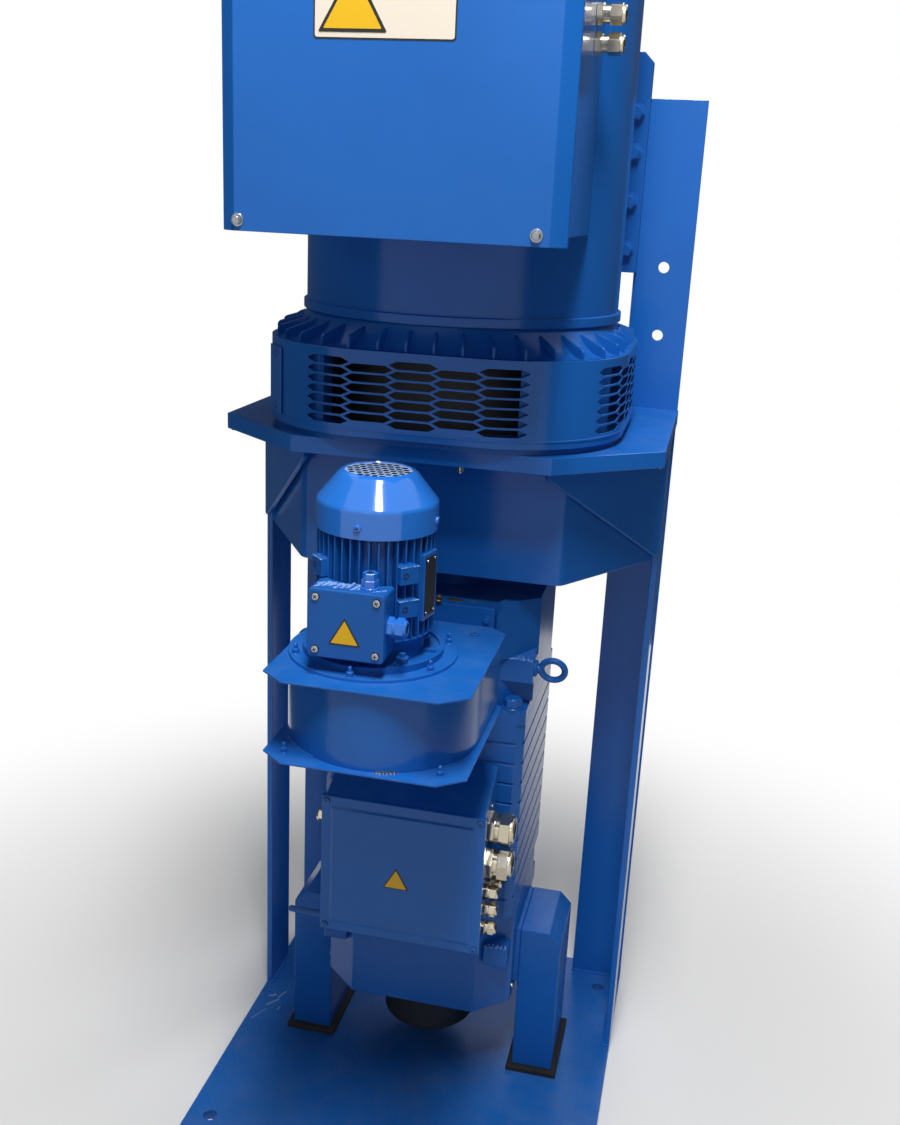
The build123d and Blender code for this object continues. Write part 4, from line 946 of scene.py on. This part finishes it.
@dataclass
class DriveMotor(Assembly):
    """The drive motor: stack, shields, feet, supply box and lifting eyes."""

    skins: tuple = (
        (CAST_ENAMEL, 0.9, 1, "motor_stack"),
        (CAST_ENAMEL, 2.5, 2, "motor_lower_shield motor_upper_shield"),
        (CAST_ENAMEL, 2, 2, "motor_foot_left motor_foot_right"),
        (PAD_RUBBER_AND_PAINTED_SHADE, 1, 2, "foot_pads"),
        (ENAMEL, 1.5, 2, "supply_box supply_box_lid"),
        (SENSOR_PLASTIC, 1, 2, "speed_sensor"),
    )
    tie_bolt: Triple = (151, 147, 800)
    lid_y: float = -278
    lid_screw_x: float = 131
    lid_screw_z: Pair = (646.5, 408.5)
    sign: Triple = (-6.5, 502.5, 45)
    large: Gland = Gland(29, 12, 44)
    small: Gland = Gland(13, 7, 26)
    box_side_x: float = 136
    large_spots: tuple = ((-222, 612), (-222, 548))
    small_spots: tuple = ((-240, 500), (-205, 500), (-240, 468), (-240, 432))
    left_spot: Pair = (-230, 590)
    eye: Triple = (212, -128, 868)
    ring_radius: float = 20
    bar_radius: float = 5.5
    ring_tilt: float = radians(17)
    boss_x: float = 182
    wedge_x: Pair = (123, 181)
    boss_front_y: float = -150
    boss_rear_y: float = -106
    boss_top: float = 888
    boss_rise: float = 16
    low_block: tuple = ((128, 172), (120, 158), (296, 336))
    coupling_z: float = 1014
    coupling_radius: float = 62

    def details(self) -> None:
        """Add the supply box's trim, the eyes, bosses, screws, small parts and coupling."""
        self.supply_box()
        self.eyes()
        self.bosses()
        self.small_parts()
        self.coupling()

    def supply_box(self) -> None:
        """Add the supply box's glands, lid screws and plain triangle."""
        rows = [(kind, (self.box_side_x, y, z), RIGHT)
                for kind, spots in ((self.large, self.large_spots), (self.small, self.small_spots))
                for y, z in spots]
        rows.append((self.small, (-self.box_side_x, *self.left_spot), LEFT))
        glands("supply_glands_dressed", rows, NICKEL, "supply_glands")
        fasteners("supply_lid_screws", Screw(5.6, 3.4),
                  [(side * self.lid_screw_x, self.lid_y, z) for z in self.lid_screw_z for side in SIDES],
                  FRONT, ENAMEL)
        triangle_sign("supply_triangle", *self.sign, self.lid_y - 4)

    def eyes(self) -> None:
        """Forge the two lifting eyes with a collar each."""
        mesh = bmesh.new()
        x, y, z = self.eye
        reach = x - self.ring_radius - self.boss_x
        circle = [(self.ring_radius + self.bar_radius * cos(a), self.bar_radius * sin(a))
                  for a in [2 * pi * k / 14 for k in range(14)]]
        shank = [(0, -2), (14, -2), (14, 2.5), (12.5, 4), (8.5, 4.8), (8, reach), (6, reach + 2),
                 (0, reach + 2)]
        for side in SIDES:
            lathe(mesh, circle, 40, True, pose((side * x, y, z), (0, -1, -tan(self.ring_tilt))))
            lathe(mesh, shank, 28, False, pose((side * self.boss_x, y, z), (side, 0, 0)))
        finish_piece("lifting_eyes", mesh, CAST_ENAMEL, replaces=("eye_bolts",))

    def bosses(self) -> None:
        """Add the tie bolts, the low bosses and the sloping eye bosses with their crusted edges, the crust
        coloured as a painted highlight.
        """
        x, y, z = self.tie_bolt
        fasteners("stack_tie_bolts", Bolt(28, 14, 17.5, 3),
                  [(sx * x, sy * y, z) for sx in SIDES for sy in SIDES], UP, CAST_ENAMEL)
        low_blocks, wedges, flash = bmesh.new(), bmesh.new(), []
        depth, rise = self.boss_rear_y - self.boss_front_y, self.boss_rise
        block_x, block_y, (block_low, block_high) = self.low_block
        for sx in SIDES:
            left, right = sorted(sx * v for v in block_x)
            for sy in SIDES:
                front, rear = sorted(sy * v for v in block_y)
                slab(low_blocks, (left, front, block_low), (right, rear, block_high), 3, 3)
            left, right = sorted(sx * v for v in self.wedge_x)
            slab(wedges, (left, self.boss_front_y + 0.5, self.boss_top - 12),
                 (right, self.boss_rear_y, self.boss_top), 1.5, 2)
            for corner, side, across, count in (
                ((sx * 125, self.boss_front_y, self.boss_top - 0.5), sx * 55, 9, 110),
                ((sx * 126, self.boss_rear_y - 1, self.boss_top + rise - 0.5), sx * 53, -4, 60),
                ((sx * 131, -157.5, block_high - 0.5), sx * 38, 6, 50),
            ):
                flash.append((corner, (side, 0, 0), (0, across, rise * across / depth), count))
        for vert in wedges.verts:
            if vert.co.z > (self.boss_top - 4) * MM:
                vert.co.z += rise * (vert.co.y / MM - self.boss_front_y) / depth * MM
        finish_piece("lower_side_bosses", low_blocks, CAST_ENAMEL)
        finish_piece("eye_boss_tops", wedges, CAST_ENAMEL)
        # Pale grains along the bosses' edges: painted highlight
        crust("boss_crust_painted_highlight", flash, 1.7)

    def small_parts(self) -> None:
        """Add the small screws, the stub beside the box, the grease nipple and the earth bar."""
        for name, kind, spots, axis, finish in (
            ("shield_screw_left", Screw(5, 3.4), [(-175.2, -96, 219)], LEFT, ZINC),
            ("shield_screw_right", Screw(5, 3.4), [(175.2, -96, 219)], RIGHT, ZINC),
            ("duct_flange_screws", Bolt(9, 4.5, 8, 1.6), [(x, -168, 957) for x in (-101, 101)],
             FRONT, ENAMEL),
            ("box_side_screws", Screw(3.6, 2.4), [(self.box_side_x, -205, 642)], RIGHT, ZINC),
        ):
            fasteners(name, kind, spots, axis, finish)
        turned("side_stub", [(0, 0), (5.6, 0), (5.6, 66), (4.6, 69), (2.6, 70.5), (0, 71)], SCUFFED_ENAMEL,
               24, stand=pose((-self.box_side_x, -250, 407), (-1, 0, 0.02)))
        turned("grease_nipple", [(0, 0), (5, 0), (5, 5), (3, 6), (3, 10), (4, 11), (4, 13), (2, 15), (0, 15)],
               BRASS, 20, stand=pose((20, -168, 980), (0.2, -0.5, 1)))
        tag = bmesh.new()
        slab(tag, (32, -158, 980), (56, -150, 982), 0.6)
        finish_piece("earth_bar", tag, BRASS)

    def coupling(self) -> None:
        """Turn the coupling's halves with their rubber ring and bolts."""
        low, rim = self.coupling_z, self.coupling_radius
        half = [(0, 0), (30, 0), (30, 66), (rim - 2, 66), (rim, 68), (rim, 108), (rim - 2, 110), (52, 110)]
        whole = half + [(r, 242 - z) for r, z in reversed(half[3:])]
        whole += [(30, 176), (30, 216), (0, 216)]
        turned("coupling_halves", [(r, low + z) for r, z in whole], TURNED_STEEL, 64,
               replaces=("shaft_coupling",))
        turned("coupling_ring", [(50, low + 110), (58, low + 110), (60, low + 113), (60, low + 129),
                                 (58, low + 132), (50, low + 132)], PAD_RUBBER_AND_PAINTED_SHADE, 64, closed=True)
        fasteners("coupling_bolts", Bolt(13, 8, 9, 1.5),
                  arc_points((0, 0), 46, low + 176, [60 * k for k in range(6)]), UP, ZINC)


@dataclass
class Blower(Assembly):
    """The radial blower and its small motor."""

    skins: tuple = (
        (ENAMEL, 0.8, 2, "blower_bottom_plate blower_top_plate blower_scroll"),
        (ENAMEL, 1, 2, "blower_duct"),
        (CAST_ENAMEL, 1, 2, "blower_motor_flange"),
        (CAST_ENAMEL, 0.5, 1, "blower_motor_frame"),
        (CAST_ENAMEL, 1.6, 2, "blower_box"),
        (CAST_ENAMEL, 2, 2, "blower_box_lid"),
    )
    axis: Pair = (-24, -395)
    ring_z: float = 976
    recess_z: float = 981
    plate_top: float = 971
    low_plate_top: float = 848
    stud: Bolt = Bolt(10, 6, 7.5, 1.2, 7, 3)
    cowl_radius: float = 88
    cowl_low: float = 1165
    cowl_cone: float = 1204
    cowl_top: float = 1246
    cowl_crown: float = 53
    cowl_screw_z: float = 1181
    sheet: float = 1.6
    mesh_sheet: float = 0.5
    slot_pitch: Pair = (10.6, 12.4)
    slot_half: Pair = (4.1, 5)
    fan_z: float = 1181
    box_x: Pair = (-86, 24)
    box_y: float = -515
    box_z: Pair = (1000, 1100)
    box_screw_inset: float = 11.5
    gland_y: float = -492
    lug_rows: tuple = ((-44, 1066), (-44, 1115), (-136, 1115))
    lug_reach: float = 94
    pad_angle: float = -12
    pad_reach: float = 87.5
    pad_z: float = 1089

    def details(self) -> None:
        """Add the cowl, the fan, the box's trim, the fixings, lugs and plate."""
        self.cowl()
        self.grille()
        self.fan()
        self.box_trim()
        self.fixings()
        self.lugs()
        self.pad_plate()

    def on_axis(self) -> Matrix:
        """Return the matrix that stands a turned shape on the blower's axis."""
        return pose((*self.axis, 0), UP)

    def cowl(self) -> None:
        """Spin the fan cowl, open at its crown, and line it dark: the lining is painted shade inside the
        cowl.
        """
        r, t, crown = self.cowl_radius, self.sheet, self.cowl_crown
        low, cone, top = self.cowl_low, self.cowl_cone, self.cowl_top
        turned("fan_cowl", [
            (r - t, low), (r, low), (r, cone - 3), (r - 0.8, cone + 0.6), (r - 2.6, cone + 3.2),
            (crown + 7.6, top - 8), (crown + 3.6, top - 3.6), (crown, top - 1), (crown - 2.8, top),
            (crown - 4.4, top), (crown - 5.2, top - 1), (crown - 5.2, top - 3.4), (crown - 2, top - 3.6),
            (r - 3.6 - t, cone + 2.2), (r - t, cone - 3),
        ], COWL_ENAMEL, 72, True, self.on_axis(), replaces=("blower_cowl",))
        # A dark skin just inside the shell: painted shade, seen through the grille's slots
        turned("painted_shade_cowl_lining", [
            (r - t - 0.2, low + 4), (r - t - 0.2, cone - 3.2), (r - 4 - t, cone + 1.8),
            (crown - 4.6, top - 4.6), (crown - 5.4, top - 4.8), (r - 5.4 - t, cone + 1),
            (r - t - 1.2, cone - 3.6), (r - t - 1.2, low + 4),
        ], DARK_IRON_AND_PAINTED_SHADE, 72, True, self.on_axis())

    def grille(self) -> None:
        """Punch the rows of slots into the disc in the cowl's crown, whose pale colour is a painted
        reflection.
        """
        top, rim = self.cowl_top - 1.4, self.cowl_crown - 4.6
        low = top - self.mesh_sheet
        plate = turned("cowl_grille", [(0, low), (rim, low), (rim, top), (0, top)], MESH_ENAMEL_PAINTED_REFLECTION, 72,
                       stand=self.on_axis(), smooth=False)
        (pitch_x, pitch_y), (half_x, half_y) = self.slot_pitch, self.slot_half
        spots = []
        for row in range(-4, 5):
            for column in range(-5, 6):
                x, y = (column + 0.5 * (row % 2)) * pitch_x, row * pitch_y
                if hypot(abs(x) + half_x - 2, abs(y) + half_y - 2) < rim - 2:
                    spots.append(pose((self.axis[0] + x, self.axis[1] + y, top), UP))
        holes, slot = bmesh.new(), bmesh.new()
        slab(slot, (-half_x, -half_y, -6), (half_x, half_y, 6), 1.2, 2)
        stamp(holes, slot, spots)
        cut_holes(plate, holes)

    def fan(self) -> None:
        """Mould the fan below the grille."""
        mesh, low, blades = bmesh.new(), self.fan_z, 9
        lathe(mesh, [(0, low), (70, low), (72, low + 2), (70, low + 3), (20, low + 5), (17, low + 27),
                     (15, low + 29), (0, low + 29)], 48, False, self.on_axis())
        for blade in range(blades):
            slab(mesh, (18, -1.2, low + 2), (74, 1.2, low + 35), 0.8, 1,
                 self.on_axis() @ Matrix.Rotation(2 * pi * blade / blades, 4, "Z"))
        finish_piece("cooling_fan", mesh, SENSOR_PLASTIC)

    def box_trim(self) -> None:
        """Add the small terminal box's screws, triangle, gland, plug and flash along its top, the flash
        coloured as a painted highlight.
        """
        (left, right), (low, high) = self.box_x, self.box_z
        front, inset = self.box_y, self.box_screw_inset
        fasteners("blower_lid_screws", Screw(5.6, 3),
                  [(x, front, z) for x in (left + inset, right - inset) for z in (low + inset, high - inset)],
                  FRONT, ZINC)
        triangle_sign("blower_triangle", -32, low + 22, 46, front)
        glands("blower_glands_dressed", [(Gland(15.5, 8, 27), (right, self.gland_y, 1048), RIGHT),
                                         (Plug(13, 4, 24), (-4, self.gland_y, high), UP)],
               COWL_ENAMEL, "blower_glands")
        flash = []
        for k in range(8):
            corner = (left + 7 + 8.5 * k, front + 9 + 4 * (k % 3), high)
            flash.append((corner, (5, 17 + 5 * (k % 2), 0.8), (4, 1, 0), 44))
        flash.append(((left + 6, front + 24, high), (62, 3, 0), (0, 6, 0.5), 130))
        flash.append(((left + 90, front + 12, high), (15, 9, 0), (1, 4, 0), 30))
        # Pale grains along the box's top: painted highlight
        crust("box_casting_flash_painted_highlight", flash, 1.5)

    def fixings(self) -> None:
        """Add the nuts, studs and beads on the blower's plates, flange and cowl."""
        for name, kind, spots, finish in (
            ("flange_nuts", Bolt(17, 9, 12.5, 2, 5, 5),
             arc_points(self.axis, 84, self.recess_z, [45 + 90 * k for k in range(4)]), ENAMEL),
            ("ring_studs", self.stud,
             arc_points(self.axis, 116, self.ring_z, [30 + 60 * k for k in range(6)]), ENAMEL),
            ("plate_studs", self.stud,
             [(-119, -514, self.low_plate_top), (111, -516, self.low_plate_top)], ENAMEL),
            ("plate_screws", Screw(6.5, 2.2), [(x, -277, self.plate_top) for x in (-104, 104)], ENAMEL),
        ):
            fasteners(name, kind, spots, UP, finish)
        for number, degrees in enumerate((-92, -2, 88, 178), start=1):
            way = level_way(degrees)
            spot = Vector((*self.axis, self.cowl_screw_z)) + way * (self.cowl_radius - 0.4)
            fasteners(f"cowl_screw_{number}", Screw(5.6, 4), [spot], way, COWL_ENAMEL)
        bead = arc_points((0, -387), 151, self.low_plate_top, list(range(208, 244, 4)))
        weld("scroll_bead", [bead], 2.4, ENAMEL)
        spots = [arc_points((0, -395), reach, self.low_plate_top, list(range(279, 293, 2)))
                 for reach in (142.5, 146)]
        weld("scroll_spot_weld", spots, 2.6, ZINC, 4.4)

    def lugs(self) -> None:
        """Put dark discs on the motor frame's lugs as painted shade for their holes, and leave the casting's
        rough flash on their tops, coloured as a painted highlight.
        """
        flash, holes = [], bmesh.new()
        for degrees, z in self.lug_rows:
            way, along = level_way(degrees), level_way(degrees + 90)
            face = Vector((*self.axis, z)) + way * self.lug_reach
            corner = face + along * -14.5 + Vector((0, 0, 12.2))
            flash.append((corner, along * 29, way * -4.5, 70))
            flash.append((corner + along * 25, along * 4, way * -17, 45))
            # A dark disc on the lug's face: painted shade for its hole
            lathe(holes, [(0, 0), (3.6, 0), (4.4, 0.5), (4.4, 0.7), (2.9, 0.7), (2.5, 0.1), (0, 0.1)], 20,
                  False, pose(face + along * -6 - way * 0.2, way))
        crust("lug_flash_painted_highlight", flash, 1.4)
        finish_piece("painted_shade_lug_holes", holes, DARK_IRON_AND_PAINTED_SHADE)

    def pad_plate(self) -> None:
        """Rivet the bare dark plate to the frame's flat pad."""
        way, along = level_way(self.pad_angle), level_way(self.pad_angle + 90)
        spot = Vector((*self.axis, self.pad_z)) + way * self.pad_reach
        turn = Matrix((along, UP, way)).transposed().to_4x4()
        mesh = bmesh.new()
        slab(mesh, (-16, -43, 0), (16, 43, 0.8), 0.3, 1, Matrix.Translation(spot * MM) @ turn)
        finish_piece("bare_motor_plate", mesh, BLACK_ALLOY)
        rivets = [spot + way * 0.8 + along * x + Vector((0, 0, z)) for x in (-11.5, 11.5)
                  for z in (-38.5, 38.5)]
        fasteners("plate_rivets", Screw(2.4, 1.4), rivets, way, ZINC)


# Stage


@dataclass
class Studio:
    """Pale floor, soft lights and the camera at the photograph's viewing angle."""

    camera_place: Triple = (0.429, -1.982, 1.620)
    right: Triple = (0.97324, 0.22527, 0.04538)
    up: Triple = (-0.10867, 0.27721, 0.95465)
    forward: Triple = (-0.20248, 0.93403, -0.29427)
    lens_mm: float = 38.23
    sensor_mm: float = 36
    pale: str = "#F4F3F1"
    pale_mottle: str = "#F0EFED"
    fade_from: float = 0.55
    fade_to: float = 1.8
    floor_size: float = 14
    floor_glow: float = 0.3
    card_grey: str = "#3E4653"
    # Middle in metres and turn about Z of each card
    card_rows: tuple = (((0.4, 2.4, 1.3), 0), ((-1.5, 0.6, 1.3), pi / 2), ((1.9, 0.6, 1.3), pi / 2))
    fill: str = "#E9EDF3"
    fill_strength: float = 0.13
    lit_point: Triple = (0, -0.1, 1.3)
    # Name, place in metres, width, height and watts of each soft box
    lamp_rows: tuple = (
        ("key_box", (0.34, -1.36, 3.72), 0.42, 1.3, 96),
        ("front_box", (0.2, -3.6, 2.7), 1.6, 1.2, 4.5),
        ("left_box", (-2.8, -1.4, 2.6), 1.2, 2, 5),
        ("rear_box", (0.6, 3, 2.9), 2.2, 2.2, 40),
        ("strip_box", (0.70, -2.5, 2.4), 0.035, 1.5, 1.8),
    )

    def build(self) -> None:
        """Make the floor, the world, the lights and the camera."""
        self.floor()
        self.cards()
        self.world()
        self.lights()
        self.camera()

    def floor(self) -> None:
        """Lay the pale floor, which fades to plain white round the set."""
        material = blank_material("pale_matt_floor")
        tree = material.node_tree
        spot = add_node(tree, "TexCoord").outputs["Object"]
        mottle = add_node(tree, "TexNoise", Vector=spot, Scale=3, Detail=3)
        tone = mix_colours(tree, mottle, linear(self.pale), linear(self.pale_mottle))
        shader = add_node(tree, "BsdfPrincipled", Base_Color=tone, Roughness=0.9)
        reach = add_node(tree, "VectorMath", {"operation": "LENGTH"}, i0=spot)
        fade = add_node(tree, "MapRange", {"interpolation_type": "SMOOTHSTEP"},
                        Value=reach.outputs["Value"], From_Min=self.fade_from, From_Max=self.fade_to)
        glow = add_node(tree, "MapRange", Value=self.direct_rays(tree), To_Min=self.floor_glow)
        white = add_node(tree, "Emission", Color=WHITE, Strength=glow)
        mixed = add_node(tree, "MixShader", Fac=fade, i1=shader, i2=white)
        add_node(tree, "OutputMaterial", Surface=mixed)
        mesh = bmesh.new()
        ops.create_grid(mesh, x_segments=1, y_segments=1, size=self.floor_size)
        new_object("floor", mesh, material)

    def cards(self) -> None:
        """Stand grey cards behind and beside the set, seen only in its shiny surfaces.

        They take the place of the dim room round the real set, so that its walls keep their blue
        where they are seen edge-on.
        """
        material = blank_material("matt_grey_card")
        tree = material.node_tree
        grey = add_node(tree, "Emission", Color=linear(self.card_grey), Strength=1)
        add_node(tree, "OutputMaterial", Surface=grey)
        mesh = bmesh.new()
        upright = Matrix.Rotation(pi / 2, 4, "X") @ Matrix.Diagonal((2.1, 1.5, 1, 1))
        for spot, turn in self.card_rows:
            matrix = Matrix.Translation(spot) @ Matrix.Rotation(turn, 4, "Z") @ upright
            ops.create_grid(mesh, x_segments=1, y_segments=1, size=1, matrix=matrix)
        cards = new_object("grey_cards", mesh, material)
        for rays in ("camera", "diffuse", "shadow", "transmission"):
            setattr(cards, f"visible_{rays}", False)

    def direct_rays(self, tree: NodeTree) -> Node:
        """Return a node that gives 1 for camera, glossy and transmission rays, else 0."""
        path = add_node(tree, "LightPath").outputs
        mirrored = add_node(tree, "Math", {"operation": "MAXIMUM"}, i0=path["Is Glossy Ray"],
                            i1=path["Is Transmission Ray"])
        return add_node(tree, "Math", {"operation": "MAXIMUM"}, i0=path["Is Camera Ray"], i1=mirrored)

    def world(self) -> None:
        """Light the set softly all round, and show the camera a near-white background."""
        world = bpy.data.worlds.new("studio")
        bpy.context.scene.world = world
        world.use_nodes = True
        tree = world.node_tree
        tree.nodes.clear()
        fill = add_node(tree, "Background", Color=linear(self.fill), Strength=self.fill_strength)
        seen = add_node(tree, "Background", Color=WHITE, Strength=1)
        mixed = add_node(tree, "MixShader", Fac=self.direct_rays(tree), i1=fill, i2=seen)
        add_node(tree, "OutputWorld", Surface=mixed)

    def lights(self) -> None:
        """Hang the soft boxes."""
        for name, spot, width, height, watts in self.lamp_rows:
            lamp = bpy.data.lights.new(name, "AREA")
            lamp.shape = "RECTANGLE"
            lamp.size = width
            lamp.size_y = height
            lamp.energy = watts
            holder = bpy.data.objects.new(name, lamp)
            holder.location = spot
            look = Vector(self.lit_point) - Vector(spot)
            holder.rotation_euler = look.to_track_quat("-Z", "Y").to_euler()
            bpy.context.scene.collection.objects.link(holder)

    def camera(self) -> None:
        """Stand the camera where the photograph was taken from."""
        lens = bpy.data.cameras.new("camera")
        lens.lens = self.lens_mm
        lens.sensor_width = self.sensor_mm
        lens.clip_start = 0.05
        camera = bpy.data.objects.new("camera", lens)
        axes = Matrix((self.right, self.up, [-v for v in self.forward])).transposed()
        camera.matrix_world = Matrix.Translation(self.camera_place) @ axes.to_4x4()
        bpy.context.scene.collection.objects.link(camera)
        bpy.context.scene.camera = camera


def main() -> None:
    """Build the sub-assemblies in order."""
    logging.basicConfig(level=logging.INFO)
    bpy.context.scene.view_settings.view_transform = "Standard"
    for node in ("drive_end_core", "blower_impeller"):
        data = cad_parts[node].data
        data.materials.clear()
        data.materials.append(DARK_IRON_AND_PAINTED_SHADE.material())
    for part in (Frame(), Generator(), DriveMotor(), Blower(), Studio()):
        part.build()
        LOG.info("built %s", type(part).__name__)


if __name__ == "__main__":
    main()
